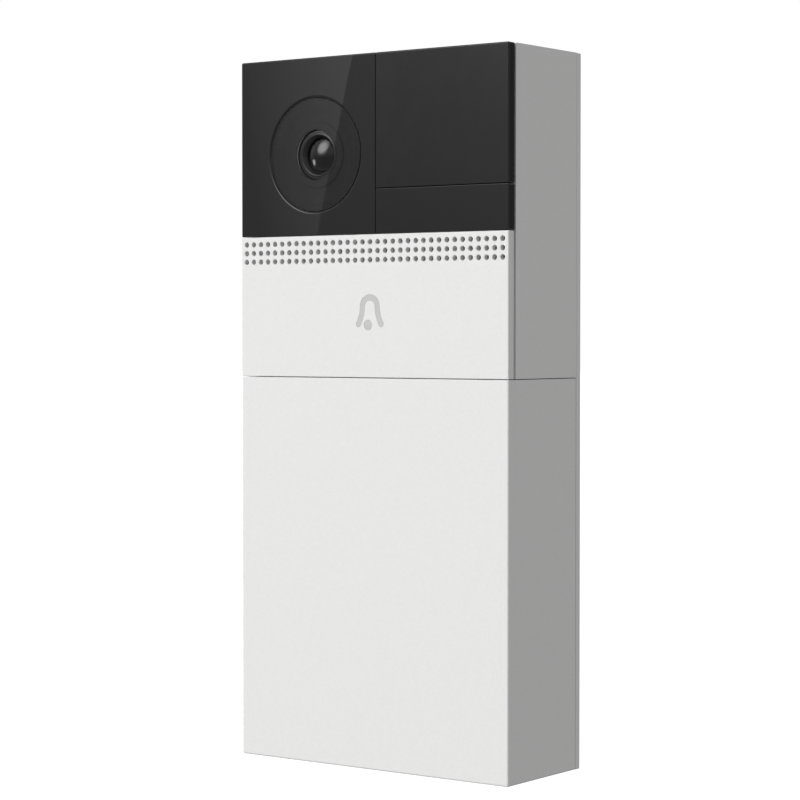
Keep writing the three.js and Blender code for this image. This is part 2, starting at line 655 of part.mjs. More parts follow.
// The seal that fills the band and stands proud of the tray, against the inside of the cover.
function traySeal() {
  const outline = block(
    span(0, HALF - WALL - SEAL_PROUD), [FRONT + WALL + 2 * SEAL_PROUD, SEAL_BACK], SEAL_Z);
  const inset = SEAL_BITE - SEAL_ROOM;
  return outline.subtract(block(span(0, TRAY_HALF - inset), toBack(TRAY_FRONT + inset), THROUGH));
}

// ---- Battery cells, each built about the Z axis -------------------------------------------------

const CELL_SIDES = 24;
const NUB_R = 2.8;
const NUB_HEIGHT = 0.8;
const SPRING = { turns: 3, wireR: 0.35, lowR: 4.3, highR: 2.8, stepsPerTurn: 8 };
const SPRING_Z = [BAY_BOTTOM + 0.6, CELL_BOTTOM - 0.6]; // ends of the wire's centre line
const CONTACT = { width: 10, depth: 8, z: [-1, -0.5] };

// A round cell standing up, its small positive end at the top.
function batteryCell() {
  const bodyTop = CELL_BOTTOM + CELL_LENGTH - NUB_HEIGHT;
  const can = barZ(CELL_R, AXIS, [CELL_BOTTOM, bodyTop], CELL_SIDES);
  return can.add(barZ(NUB_R, AXIS, [bodyTop - BITE, bodyTop + NUB_HEIGHT], SMALL_ROUND));
}

// The centre line of a conical spring that stands on its wide end.
class ConicalHelix extends THREE.Curve {
  getPoint(t, target = new THREE.Vector3()) {
    const angle = t * SPRING.turns * Math.PI * 2;
    const radius = THREE.MathUtils.lerp(SPRING.lowR, SPRING.highR, t);
    const z = THREE.MathUtils.lerp(SPRING_Z[0], SPRING_Z[1], t);
    return target.set(radius * Math.cos(angle), radius * Math.sin(angle), z);
  }
}

// A sprung wire cone under the cell's flat end.
function cellSpring() {
  const wire = new THREE.Shape().absarc(0, 0, SPRING.wireR, 0, Math.PI * 2, false);
  return solid(new THREE.ExtrudeGeometry(wire, {
    steps: SPRING.turns * SPRING.stepsPerTurn,
    curveSegments: 2,
    bevelEnabled: false,
    extrudePath: new ConicalHelix(),
  }));
}

const cellContact = () => block(span(0, CONTACT.width / 2), span(0, CONTACT.depth / 2), CONTACT.z);

// ---- Service board ---------------------------------------------------------------------------

const serviceBoard = () => block(SERVICE_BOARD.x, SERVICE_BOARD.y, SERVICE_BOARD.z);

const USB = { halfWidth: 3.9, y: [-23.6, -17], top: 4.9, wall: 0.4 };
const TONGUE = { halfWidth: 2.8, y: [-23, -17.5], z: [3.3, 3.8] };
const CARD_SLOT = { halfWidth: 6.3, y: [-22.2, -10], top: 4.5, sideWall: 0.5, wall: 0.4, back: -10.6 };
const CARD = { halfWidth: 5.5, y: [-24.4, -11], z: [2.9, 3.7] };
const RESET_SWITCH = { halfWidth: 2.4, y: [-20.6, -17], top: 5 };
const RESET_BUTTON = { r: 1.3, depths: [-23.8, -21.2] };

// A socket with a tongue down its middle.
function usbPort() {
  const shell = block(span(USB_X, USB.halfWidth), USB.y, [SOCKETS_BOTTOM, USB.top]);
  const mouth = block(span(USB_X, USB.halfWidth - USB.wall), toFront(USB.y[1] - 1),
    [SOCKETS_BOTTOM + USB.wall, USB.top - USB.wall]);
  const tongue = block(span(USB_X, TONGUE.halfWidth), TONGUE.y, TONGUE.z);
  return join(cut(shell, mouth), tongue);
}

function cardSlot() {
  const shell = block(span(CARD_X, CARD_SLOT.halfWidth), CARD_SLOT.y, [SOCKETS_BOTTOM, CARD_SLOT.top]);
  const mouth = block(span(CARD_X, CARD_SLOT.halfWidth - CARD_SLOT.sideWall), toFront(CARD_SLOT.back),
    [SOCKETS_BOTTOM + CARD_SLOT.wall, CARD_SLOT.top - CARD_SLOT.wall]);
  return shell.subtract(mouth);
}

const memoryCard = () => block(span(CARD_X, CARD.halfWidth), CARD.y, CARD.z);

const resetSwitch = () =>
  block(span(RESET_AT[0], RESET_SWITCH.halfWidth), RESET_SWITCH.y, [SOCKETS_BOTTOM, RESET_SWITCH.top]);

const resetButton = () => barY(RESET_BUTTON.r, AXIS, RESET_BUTTON.depths, SMALL_ROUND);

// ---- Battery cover ---------------------------------------------------------------------------

const SECURITY_SEAT_R = 2.4;
const SECURITY_SEAT_DEPTH = 1;
const SECURITY = { headR: 2, headHeight: 0.7, shankR: 1, hexR: 0.9, hexDepth: 0.4 };

function guideRib(side) {
  const across = [side * (HALF - WALL - RIB_REACH), side * (HALF - WALL + BITE)];
  return block(across, RIB, [BOTTOM + WALL - BITE, RIB_TOP]);
}

// A tub, open at the back and the top, with a rib inside each side to guide it on the tray.
function batteryCover() {
  const outside = block([-HALF, HALF], [FRONT, SHELL_BACK], [BOTTOM, COVER_TOP]);
  const inside = block(span(0, HALF - WALL), toBack(FRONT + WALL), [BOTTOM + WALL, AWAY]);
  const at = [0, SECURITY_Y];
  const screwHole = barZ(SCREW_HOLE_R, at, [-AWAY, BOTTOM + 2 * WALL], SMALL_ROUND);
  const screwSeat = barZ(SECURITY_SEAT_R, at, [-AWAY, BOTTOM + SECURITY_SEAT_DEPTH], SMALL_ROUND);
  return cut(join(cut(outside, inside), guideRib(-1), guideRib(1)), screwHole, screwSeat);
}

// The screw that locks the cover, pointing up. It stays in the cover when it is undone.
function securityScrew() {
  const underside = BOTTOM + SEAT_GAP;
  const neck = underside + SECURITY.headHeight;
  const head = barZ(SECURITY.headR, AXIS, [underside, neck], SMALL_ROUND);
  const shank = barZ(SECURITY.shankR, AXIS, [neck - SEAT_GAP, SECURITY_END], TINY_ROUND);
  const hexagon = barZ(SECURITY.hexR, AXIS, [BOTTOM - 1, underside + SECURITY.hexDepth], 6);
  return head.add(shank).subtract(hexagon);
}

// ---- Materials -------------------------------------------------------------------------------

const finish = (color, roughness, metalness = 0) =>
  new THREE.MeshStandardMaterial({ color, roughness, metalness });

const whitePlastic = finish(0xe7e7e6, 0.55);
const greyPlastic = finish(0x8d9093, 0.6);
const glossBlack = finish(0x2a2a2b, 0.08);
const satinBlack = finish(0x2c2c2d, 0.35);
const darkPlastic = finish(0x303234, 0.6);
const coatedGlass = finish(0x10131c, 0.03);
const clearPlastic = finish(0xd8dadc, 0.03);
const iconGrey = finish(0xc9c9c8, 0.45);
const rubber = finish(0x1e1e1f, 0.85);
const boardGreen = finish(0x1d5a3a, 0.5);
const steel = finish(0xb9bcc0, 0.3, 1);
const nickel = finish(0xcfd0ce, 0.25, 1);
const magnetGrey = finish(0x5a5d61, 0.45, 1);
const paper = finish(0x26272a, 0.9);
const cellWrap = finish(0x2f6f9e, 0.35);
const clearLamp = finish(0x9fb0c8, 0.1);
const chipBlack = finish(0x1b1c1e, 0.5);
const brass = finish(0xb99a55, 0.35, 1);

// ---- Assembly --------------------------------------------------------------------------------

// A group inside another, at a place seen from the front and a depth.
function groupIn(parent, [x, z] = AXIS, y = 0) {
  const group = new THREE.Group();
  group.position.set(x, y, z);
  parent.add(group);
  return group;
}

function add(group, name, whole, material) {
  const { numProp, vertProperties, triVerts } = whole.getMesh();
  const geometry = new THREE.BufferGeometry();
  const positions = new Float32Array((vertProperties.length / numProp) * 3);
  for (let i = 0; i < positions.length / 3; i += 1) {
    positions.set(vertProperties.subarray(i * numProp, i * numProp + 3), i * 3);
  }
  geometry.setAttribute("position", new THREE.BufferAttribute(positions, 3));
  geometry.setIndex(new THREE.BufferAttribute(new Uint32Array(triVerts), 1));
  geometry.computeVertexNormals();
  const mesh = new THREE.Mesh(geometry, material);
  mesh.name = name;
  group.add(mesh);
}

function addWallPlate(doorbell) {
  add(doorbell, "mounting_plate", mountingPlate(), whitePlastic);
}

function addShell(body) {
  add(body, "upper_housing", upperHousing(), whitePlastic);
  add(body, "front_chassis", frontChassis(), darkPlastic);
  add(body, "chassis_gasket", chassisGasket(), rubber);
  BOSS_PLACES.forEach((at, i) =>
    add(groupIn(body, at, CHASSIS_SCREW_Y), `chassis_screw_${i + 1}`, screw(CHASSIS_SCREW), steel));
}

function addWindows(body) {
  add(body, "camera_window", cameraWindow(), glossBlack);
  add(body, "motion_window", motionWindow(), satinBlack);
  add(body, "sensor_window", sensorWindow(), satinBlack);
}

function addCamera(body) {
  const camera = groupIn(body, LENS_AT);
  add(camera, "lens_cover", lensCover(), clearPlastic);
  add(camera, "lens_bezel", lensBezel(), glossBlack);
  add(camera, "lens_barrel", lensBarrel(), satinBlack);
  add(camera, "lens_glass", lensGlass(), coatedGlass);
  add(camera, "lens_holder", lensHolder(), darkPlastic);
  add(camera, "camera_board", centred(CAMERA_BOARD), boardGreen);
  add(camera, "image_sensor", centred(SENSOR), chipBlack);
  add(camera, "infrared_filter", centred(FILTER), coatedGlass);
}

function addBellButton(body) {
  add(body, "bell_button", bellButton(), whitePlastic);
  add(body, "bell_light_guide", bellLightGuide(), iconGrey);
  const bellSwitch = groupIn(body, SWITCH_AT);
  add(bellSwitch, "switch_body", switchBody(), chipBlack);
  add(bellSwitch, "switch_plunger", switchPlunger(), chipBlack);
}

function addSensors(body) {
  add(groupIn(body, MOTION_AT), "motion_sensor", motionSensor(), steel);
  add(groupIn(body, LIGHT_SENSOR_AT), "light_sensor", lightSensor(), clearLamp);
  LAMP_PLACES.forEach((at, i) =>
    add(groupIn(body, at), `infrared_lamp_${i + 1}`, infraredLamp(), clearLamp));
}

function addSound(body) {
  const speaker = groupIn(body, SPEAKER_AT);
  add(speaker, "speaker_frame", speakerFrame(), darkPlastic);
  add(speaker, "speaker_magnet", speakerMagnet(), magnetGrey);
  add(speaker, "speaker_cone", speakerCone(), paper);
  add(speaker, "speaker_gasket", speakerGasket(), rubber);
  const mic = groupIn(body, MIC_AT);
  add(mic, "microphone_boot", microphoneBoot(), rubber);
  add(mic, "microphone", microphone(), steel);
}

function addMainBoard(body) {
  add(body, "main_board", mainBoard(), boardGreen);
  add(body, "processor_shield", processorShield(), steel);
  add(body, "wireless_module", wirelessModule(), steel);
  add(body, "antenna", antenna(), brass);
  POST_PLACES.forEach((at, i) =>
    add(groupIn(body, at, BOARD_SCREW_Y), `board_screw_${i + 1}`, screw(BOARD_SCREW), steel));
}

function addBattery(body) {
  add(body, "battery_tray", batteryTray(), greyPlastic);
  add(body, "tray_seal", traySeal(), rubber);
  CELL_XS.forEach((x, i) => {
    const bay = groupIn(body, [x, 0], CELL_Y);
    add(bay, `battery_cell_${i + 1}`, batteryCell(), cellWrap);
    add(bay, `cell_spring_${i + 1}`, cellSpring(), nickel);
    add(bay, `cell_contact_${i + 1}`, cellContact(), nickel);
  });
}

function addServiceBoard(body) {
  add(body, "service_board", serviceBoard(), boardGreen);
  add(body, "usb_port", usbPort(), steel);
  add(body, "card_slot", cardSlot(), steel);
  add(body, "memory_card", memoryCard(), chipBlack);
  add(body, "reset_switch", resetSwitch(), chipBlack);
  add(groupIn(body, RESET_AT), "reset_button", resetButton(), whitePlastic);
}

function addCover(doorbell) {
  add(doorbell, "battery_cover", batteryCover(), whitePlastic);
  add(groupIn(doorbell, AXIS, SECURITY_Y), "security_screw", securityScrew(), steel);
}

const doorbell = new THREE.Group();
const body = groupIn(doorbell);
addWallPlate(doorbell);
[addShell, addWindows, addCamera, addBellButton, addSensors, addSound, addMainBoard, addBattery,
  addServiceBoard].forEach((addUnit) => addUnit(body));
addCover(doorbell);

export default doorbell;
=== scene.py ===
"""A battery video doorbell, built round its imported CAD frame: metres, +Z up, +Y into the wall."""
import json
import math

import bmesh
import bpy
from mathutils import Matrix, Vector

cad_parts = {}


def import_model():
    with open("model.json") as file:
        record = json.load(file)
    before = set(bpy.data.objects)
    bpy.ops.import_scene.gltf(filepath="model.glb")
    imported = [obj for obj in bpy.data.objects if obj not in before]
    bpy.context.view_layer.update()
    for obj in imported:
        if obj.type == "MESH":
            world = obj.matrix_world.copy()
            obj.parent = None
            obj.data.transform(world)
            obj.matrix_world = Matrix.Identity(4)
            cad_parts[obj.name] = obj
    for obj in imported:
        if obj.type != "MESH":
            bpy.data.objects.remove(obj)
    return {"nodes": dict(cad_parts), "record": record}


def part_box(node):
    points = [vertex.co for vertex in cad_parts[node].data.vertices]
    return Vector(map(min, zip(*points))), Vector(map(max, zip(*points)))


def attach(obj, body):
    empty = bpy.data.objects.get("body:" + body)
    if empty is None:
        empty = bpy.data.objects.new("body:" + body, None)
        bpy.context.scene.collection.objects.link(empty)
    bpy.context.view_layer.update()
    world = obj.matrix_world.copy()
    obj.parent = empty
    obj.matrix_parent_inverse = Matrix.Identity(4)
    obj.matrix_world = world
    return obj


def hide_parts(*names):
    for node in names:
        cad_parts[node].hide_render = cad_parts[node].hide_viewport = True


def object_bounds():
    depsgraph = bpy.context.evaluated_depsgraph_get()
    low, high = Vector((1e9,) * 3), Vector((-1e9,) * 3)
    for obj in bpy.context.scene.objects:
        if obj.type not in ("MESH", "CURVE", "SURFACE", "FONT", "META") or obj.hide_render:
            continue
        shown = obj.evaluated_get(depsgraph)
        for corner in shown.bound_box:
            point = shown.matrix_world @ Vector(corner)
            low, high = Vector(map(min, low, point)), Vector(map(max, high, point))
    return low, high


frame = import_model()
cad_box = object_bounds()

MM = 0.001
ROUND = 128  # sides of a large round part
SMALL_ROUND = 48  # sides of a small one
UP_Y = Matrix.Rotation(math.radians(-90), 4, "X")  # turns the Z axis to lie along +Y

# ---- Camera ----------------------------------------------------------------------------------

AZIMUTH = math.radians(36.31)
ELEVATION = math.radians(1.54)
DISTANCE = 551.2 * MM
AIM = Vector((-12.18, 0, 1.85)) * MM
LENS = 112.4  # focal length in millimetres
SENSOR_WIDTH = 36  # millimetres


def make_camera():
    data = bpy.data.cameras.new("camera")
    data.lens = LENS
    data.sensor_width = SENSOR_WIDTH
    data.clip_start = 0.01
    data.clip_end = 30
    camera = bpy.data.objects.new("camera", data)
    back = Vector((
        math.sin(AZIMUTH) * math.cos(ELEVATION),
        -math.cos(AZIMUTH) * math.cos(ELEVATION),
        math.sin(ELEVATION),
    ))
    camera.location = AIM + back * DISTANCE
    camera.rotation_euler = back.to_track_quat("Z", "Y").to_euler()
    bpy.context.scene.collection.objects.link(camera)
    bpy.context.scene.camera = camera


make_camera()

# ---- Materials -------------------------------------------------------------------------------


def add_node(tree, kind, inputs, **settings):
    """A shader node of a kind. Its inputs are numbers or other nodes' outputs."""
    node = tree.nodes.new(f"ShaderNode{kind}")
    for name, value in settings.items():
        setattr(node, name, value)
    for socket, value in inputs.items():
        if isinstance(value, bpy.types.NodeSocket):
            tree.links.new(value, node.inputs[socket])
        else:
            node.inputs[socket].default_value = value
    return node


def map_range(tree, value, start, end, low=0.0, high=1.0, smooth=False):
    """Turns start to end of a value into low to high, and holds those beyond."""
    inputs = {"Value": value, "From Min": start, "From Max": end, "To Min": low, "To Max": high}
    kind = "SMOOTHSTEP" if smooth else "LINEAR"
    return add_node(tree, "MapRange", inputs, interpolation_type=kind).outputs["Result"]


class Shader:
    """A Principled material, and short ways to feed its colour, roughness and relief from noise."""

    def __init__(self, name, color, roughness, metallic=0.0, **sockets):
        self.material = bpy.data.materials.new(name)
        self.material.use_nodes = True
        self.tree = self.material.node_tree
        self.principled = self.tree.nodes["Principled BSDF"]
        self.color = color
        values = {"Base Color": (*color, 1), "Roughness": roughness, "Metallic": metallic, **sockets}
        for socket, value in values.items():
            self.principled.inputs[socket.replace("_", " ")].default_value = value
        self.place = add_node(self.tree, "TexCoord", {}).outputs["Object"]
        self.height = None

    def stretched(self, x, y, z):
        """The place in the object, stretched along its axes: a small number makes long marks."""
        return add_node(self.tree, "Mapping", {"Vector": self.place, "Scale": (x, y, z)}).outputs["Vector"]

    def noise(self, size, detail=2.0, place=None):
        """Noise whose grains are about size metres across."""
        inputs = {"Vector": place or self.place, "Scale": 1 / size, "Detail": detail}
        return add_node(self.tree, "TexNoise", inputs).outputs["Fac"]

    def cell_edges(self, size):
        """How far a place is from the edges of random cells about size metres across."""
        inputs = {"Vector": self.place, "Scale": 1 / size}
        return add_node(self.tree, "TexVoronoi", inputs, feature="DISTANCE_TO_EDGE").outputs["Distance"]

    def waves(self, size, direction, distortion=0.0):
        """Waves that follow one another along an axis, size metres from crest to crest."""
        inputs = {"Vector": self.place, "Scale": 0.314 / size, "Distortion": distortion}
        return add_node(self.tree, "TexWave", inputs, bands_direction=direction).outputs["Fac"]

    def feed(self, socket, output):
        self.tree.links.new(output, self.principled.inputs[socket])
        return self

    def tint(self, factor, dark, light, start=0.3, end=0.7):
        """Varies the base colour between dark and light times itself."""
        inputs = {
            "Fac": map_range(self.tree, factor, start, end),
            "Color1": (*(c * dark for c in self.color), 1),
            "Color2": (*(c * light for c in self.color), 1),
        }
        return self.feed("Base Color", add_node(self.tree, "MixRGB", inputs).outputs["Color"])

    def gloss(self, factor, low, high):
        """Varies the roughness between low and high."""
        return self.feed("Roughness", map_range(self.tree, factor, 0.3, 0.7, low, high))

    def relief(self, factor, depth, strength=1.0):
        """Raises the surface by up to depth metres. Reliefs given one after another add up."""
        inputs = {"Height": factor, "Distance": depth, "Strength": strength}
        if self.height:
            inputs["Normal"] = self.height
        self.height = add_node(self.tree, "Bump", inputs).outputs["Normal"]
        return self.feed("Normal", self.height)


def white_plastic():
    """Satin white ABS with a fine spark-eroded grain."""
    shader = Shader("white_plastic", (0.80, 0.80, 0.795), 0.5, IOR=1.5)
    shader.tint(shader.noise(0.55 * MM, 3), 0.982, 1.012)
    shader.gloss(shader.noise(9 * MM, 2), 0.47, 0.55)
    shader.relief(shader.noise(0.22 * MM, 3), 0.007 * MM)
    return shader.relief(shader.noise(1.1 * MM, 1), 0.003 * MM).material


def gloss_black():
    """Polished black acrylic, with the faintest haze."""
    shader = Shader("gloss_black", (0.0105, 0.0105, 0.0108), 0.01, IOR=1.49)
    shader.gloss(shader.noise(6 * MM, 4), 0.0, 0.02)
    return shader.tint(shader.noise(0.3 * MM, 2), 0.93, 1.1).material


def satin_black():
    """Infrared-clear black plastic with a silky surface."""
    shader = Shader("satin_black", (0.0088, 0.0088, 0.0091), 0.1, IOR=1.49)
    shader.gloss(shader.noise(4 * MM, 3), 0.08, 0.12)
    shader.tint(shader.noise(0.4 * MM, 2), 0.92, 1.08)
    return shader.relief(shader.noise(0.12 * MM, 2), 0.0015 * MM).material


def ring_grey():
    """Dull grey of the dished ring, which the smoked cover darkens to black."""
    shader = Shader("ring_grey", (0.22, 0.22, 0.221), 0.5, Specular_IOR_Level=0.05)
    shader.tint(shader.noise(0.5 * MM, 3), 0.94, 1.06)
    return shader.gloss(shader.noise(1 * MM, 3), 0.46, 0.54).material


def lens_black():
    """Anodised black of the lens barrel."""
    shader = Shader("lens_black", (0.009, 0.009, 0.0095), 0.3, IOR=1.5)
    shader.gloss(shader.noise(0.4 * MM, 3), 0.26, 0.38)
    return shader.relief(shader.noise(0.08 * MM, 2), 0.002 * MM).material


def clear(name, color, ior, roughness=0.0):
    """Clear or smoked plastic or glass, with the faintest unevenness of colour."""
    shader = Shader(name, color, roughness, IOR=ior, Transmission_Weight=1.0)
    return shader.tint(shader.noise(4 * MM, 2), 0.995, 1).material


def coated_glass():
    """The dark glass deep in the lens, with a thin coating."""
    shader = Shader("coated_glass", (0.006, 0.006, 0.0065), 0.1, Specular_IOR_Level=0.3)
    return shader.gloss(shader.noise(1.5 * MM, 2), 0.08, 0.14).material


def clear_epoxy():
    shader = Shader("clear_epoxy", (0.62, 0.66, 0.78), 0.05, IOR=1.55, Transmission_Weight=0.85)
    return shader.gloss(shader.noise(1 * MM, 2), 0.03, 0.09).material


def sign_grey():
    """Milky light-guide plastic of the bell sign."""
    shader = Shader("sign_grey", (0.565, 0.565, 0.565), 0.42, IOR=1.5)
    shader.tint(shader.noise(0.4 * MM, 2), 0.96, 1.03)
    return shader.relief(shader.noise(0.15 * MM, 2), 0.004 * MM).material


def moulded(name, color, roughness, grain=0.3 * MM):
    """Matte moulded plastic with a fine grain and faint flow marks."""
    shader = Shader(name, color, roughness, IOR=1.5)
    flow = shader.noise(3 * MM, 3, shader.stretched(1, 1, 0.25))
    shader.tint(flow, 0.9, 1.08)
    shader.gloss(shader.noise(2 * MM, 2), roughness - 0.06, roughness + 0.06)
    return shader.relief(shader.noise(grain, 3), 0.012 * MM).material


def silicone():
    shader = Shader("silicone", (0.018, 0.018, 0.0185), 0.75, IOR=1.42, Sheen_Weight=0.15)
    shader.tint(shader.noise(1.2 * MM, 3), 0.85, 1.2)
    return shader.relief(shader.noise(0.1 * MM, 2), 0.006 * MM).material


def solder_mask():
    """A green circuit board: copper tracks show paler under the mask, which ripples over them."""
    shader = Shader("solder_mask", (0.012, 0.09, 0.04), 0.32, IOR=1.5)
    shader.tint(shader.cell_edges(3.2 * MM), 1.9, 0.85, 0.02, 0.07)
    ripples = shader.waves(1.3 * MM, "X", 4.0)
    shader.gloss(ripples, 0.26, 0.38)
    return shader.relief(ripples, 0.02 * MM, 0.5).material


def brushed(name, color, roughness):
    """Plated metal with fine marks from drawing and tumbling."""
    shader = Shader(name, color, roughness, 1.0)
    marks = shader.noise(0.35 * MM, 4, shader.stretched(1, 1, 0.12))
    shader.tint(shader.noise(3 * MM, 3), 0.9, 1.06)
    shader.gloss(marks, roughness - 0.08, roughness + 0.12)
    return shader.relief(marks, 0.003 * MM, 0.6).material


def shrink_sleeve():
    """Glossy blue PVC sleeve, slightly puckered where it was shrunk on."""
    shader = Shader("shrink_sleeve", (0.025, 0.13, 0.30), 0.24, IOR=1.5)
    pucker = shader.noise(2.2 * MM, 2, shader.stretched(1, 1, 0.3))
    shader.tint(shader.noise(7 * MM, 2), 0.9, 1.1)
    shader.gloss(shader.noise(1.5 * MM, 3), 0.2, 0.32)
    return shader.relief(pucker, 0.05 * MM, 0.5).material


def acoustic_mesh():
    """Fine black woven mesh behind the grille."""
    shader = Shader("acoustic_mesh", (0.012, 0.012, 0.0122), 0.8, Sheen_Weight=0.1)
    shader.relief(shader.waves(0.16 * MM, "X"), 0.03 * MM)
    return shader.relief(shader.waves(0.16 * MM, "Z"), 0.03 * MM).material


def pressed_paper(name, color):
    shader = Shader(name, color, 0.85, Sheen_Weight=0.1)
    shader.tint(shader.noise(0.25 * MM, 4), 0.8, 1.2)
    return shader.relief(shader.noise(0.12 * MM, 4), 0.02 * MM).material


MATERIALS = {
    "white_shell": white_plastic(),
    "gloss_black": gloss_black(),
    "satin_black": satin_black(),
    "ring_grey": ring_grey(),
    "lens_black": lens_black(),
    "lens_glass": clear("lens_glass", (0.03, 0.03, 0.031), 1.6, 0.05),
    "inner_glass": coated_glass(),
    "clear_cover": clear("smoked_cover", (0.07, 0.07, 0.07), 1.49),
    "coated_back": clear("coated_back", (0.023, 0.023, 0.023), 1.0),
    "clear_middle": clear("clear_middle", (1, 1, 1), 1.0),
    "clear_lamp": clear_epoxy(),
    "icon_grey": sign_grey(),
    "dark_plastic": moulded("dark_plastic", (0.035, 0.036, 0.038), 0.6),
    "grey_tray": moulded("grey_tray", (0.235, 0.245, 0.255), 0.55),
    "chip_black": moulded("chip_black", (0.013, 0.013, 0.014), 0.5, 0.12 * MM),
    "rubber": silicone(),
    "circuit_board": solder_mask(),
    "nickel": brushed("nickel", (0.66, 0.64, 0.60), 0.26),
    "steel": brushed("steel", (0.52, 0.52, 0.53), 0.3),
    "magnet": brushed("magnet", (0.20, 0.20, 0.21), 0.42),
    "brass": brushed("brass", (0.72, 0.50, 0.22), 0.3),
    "cell_wrap": shrink_sleeve(),
    "paper": pressed_paper("cone_paper", (0.022, 0.022, 0.024)),
    "insulator": pressed_paper("insulator_paper", (0.60, 0.58, 0.52)),
    "mesh": acoustic_mesh(),
}

# ---- Mesh tools ------------------------------------------------------------------------------


def in_mm(*pairs, start=0.0):
    """A profile that is given in millimetres, along an axis from a start in metres."""
    return [(radius * MM, start + along * MM) for radius, along in pairs]


def extent(node):
    """A CAD node's lowest and highest corners, and its middle."""
    low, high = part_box(node)
    return low, high, (low + high) / 2


def centre(node):
    return extent(node)[2]


def radius_of(node):
    """Half the width of a CAD node, from left to right."""
    low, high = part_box(node)
    return (high.x - low.x) / 2


def new_piece(name, mesh):
    piece = bpy.data.objects.new(name, mesh)
    bpy.context.scene.collection.objects.link(piece)
    return piece


def from_bmesh(name, bm):
    bmesh.ops.recalc_face_normals(bm, faces=bm.faces)
    mesh = bpy.data.meshes.new(name)
    bm.to_mesh(mesh)
    bm.free()
    return new_piece(name, mesh)


def rounded_box(name, low, high, radius=0.0, segments=3):
    """A block between two corners, its edges rounded."""
    bm = bmesh.new()
    size = Vector(high) - Vector(low)
    middle = (Vector(high) + Vector(low)) / 2
    bmesh.ops.create_cube(bm, size=1, matrix=Matrix.Translation(middle) @ Matrix.Diagonal((*size, 1)))
    if radius:
        bmesh.ops.bevel(bm, geom=bm.edges[:], offset=radius, segments=segments, profile=0.5,
                        affect="EDGES")
    return from_bmesh(name, bm)


def in_box(name, place, size, depths, radius=0.0):
    """A block in millimetres, centred on (x, z), between two depths."""
    (x, z), (width, height) = place, size
    return rounded_box(
        name,
        Vector((x - width / 2, depths[0], z - height / 2)) * MM,
        Vector((x + width / 2, depths[1], z + height / 2)) * MM,
        radius * MM,
        2,
    )


def lathe(name, profile, middle, axis="Y", sides=ROUND):
    """A closed profile of (radius, place along the axis) turned about an axis through middle."""
    bm = bmesh.new()
    rings = []
    for radius, along in profile:
        if radius < 1e-7:
            rings.append([bm.verts.new((0, 0, along))])
            continue
        rings.append([
            bm.verts.new((radius * math.cos(turn), radius * math.sin(turn), along))
            for turn in (2 * math.pi * i / sides for i in range(sides))
        ])
    pairs = list(zip(rings, rings[1:]))
    if len(rings[0]) > 1 and len(rings[-1]) > 1:
        pairs.append((rings[-1], rings[0]))
    for ring, following in pairs:
        for i in range(sides):
            corners = [ring[i % len(ring)], ring[(i + 1) % len(ring)],
                       following[(i + 1) % len(following)], following[i % len(following)]]
            unique = list(dict.fromkeys(corners))
            if len(unique) > 2:
                bm.faces.new(unique)
    turn = UP_Y if axis == "Y" else Matrix.Identity(4)
    bmesh.ops.transform(bm, matrix=Matrix.Translation(middle) @ turn, verts=bm.verts)
    return from_bmesh(name, bm)


def skinned(name, rings):
    """A closed solid through rings that have as many points each, with its two ends capped."""
    bm = bmesh.new()
    loops = [[bm.verts.new(point) for point in ring] for ring in rings]
    for loop, following in zip(loops, loops[1:]):
        for i in range(len(loop)):
            after = (i + 1) % len(loop)
            bm.faces.new((loop[i], loop[after], following[after], following[i]))
    bm.faces.new(loops[0])
    bm.faces.new(loops[-1])
    return from_bmesh(name, bm)


def pill(name, place, reach, levels, upright=True, steps=16):
    """A solid with round-ended outlines: levels are (radius, depth) from the front to the back."""
    rings = []
    for radius, depth in levels:
        ring = []
        for end, first in ((1, 0), (-1, 180)):
            for i in range(steps + 1):
                turn = math.radians(first + 180 * i / steps)
                across = radius * math.cos(turn)
                along = radius * math.sin(turn) + end * reach
                x, z = (across, along) if upright else (along, -across)
                ring.append((place[0] + x, depth, place[1] + z))
        rings.append(ring)
    return skinned(name, rings)


def prism(name, outline, low, high, axis="Y"):
    """A flat outline of (x, z), or of (x, y) where the axis is Z, as a solid between two levels."""
    along_y = axis == "Y"
    return skinned(name, [
        [(a, level, b) if along_y else (a, b, level) for a, b in outline] for level in (low, high)
    ])


def rounded_profile(points, radius, steps=3):
    """The profile with each corner cut to a short arc, no longer than a third of its sides."""
    smooth = []
    for i, point in enumerate(points):
        here = Vector(point)
        before = Vector(points[i - 1]) if i else None
        after = Vector(points[i + 1]) if i + 1 < len(points) else None
        if before is None or after is None or here.x < 1e-7:
            smooth.append(tuple(here))
            continue
        reach = min(radius, (here - before).length / 3, (after - here).length / 3)
        start = here + (before - here).normalized() * reach
        end = here + (after - here).normalized() * reach
        for step in range(steps + 1):
            t = step / steps
            smooth.append(tuple(start * (1 - t) ** 2 + here * 2 * t * (1 - t) + end * t ** 2))
    return smooth


def bake_modifiers(piece):
    """Turns the piece's modifiers into its mesh."""
    bpy.context.view_layer.update()
    evaluated = piece.evaluated_get(bpy.context.evaluated_depsgraph_get())
    mesh = bpy.data.meshes.new_from_object(evaluated)
    piece.modifiers.clear()
    piece.data = mesh
    return piece


def combine(piece, other, operation):
    modifier = piece.modifiers.new("combine", "BOOLEAN")
    modifier.operation = operation
    modifier.solver = "EXACT"
    modifier.object = other
    bake_modifiers(piece)
    bpy.data.objects.remove(other)
    return piece


def carve(piece, *cutters):
    for cutter in cutters:
        combine(piece, cutter, "DIFFERENCE")
    return piece


def fuse(piece, *others):
    for other in others:
        combine(piece, other, "UNION")
    return piece


def gather(name, pieces):
    """Several separate meshes as one object."""
    bm = bmesh.new()
    for piece in pieces:
        bm.from_mesh(piece.data)
        bpy.data.objects.remove(piece)
    return from_bmesh(name, bm)


FINE_PART = 0.45  # a fine edge's width, as a part of the others'


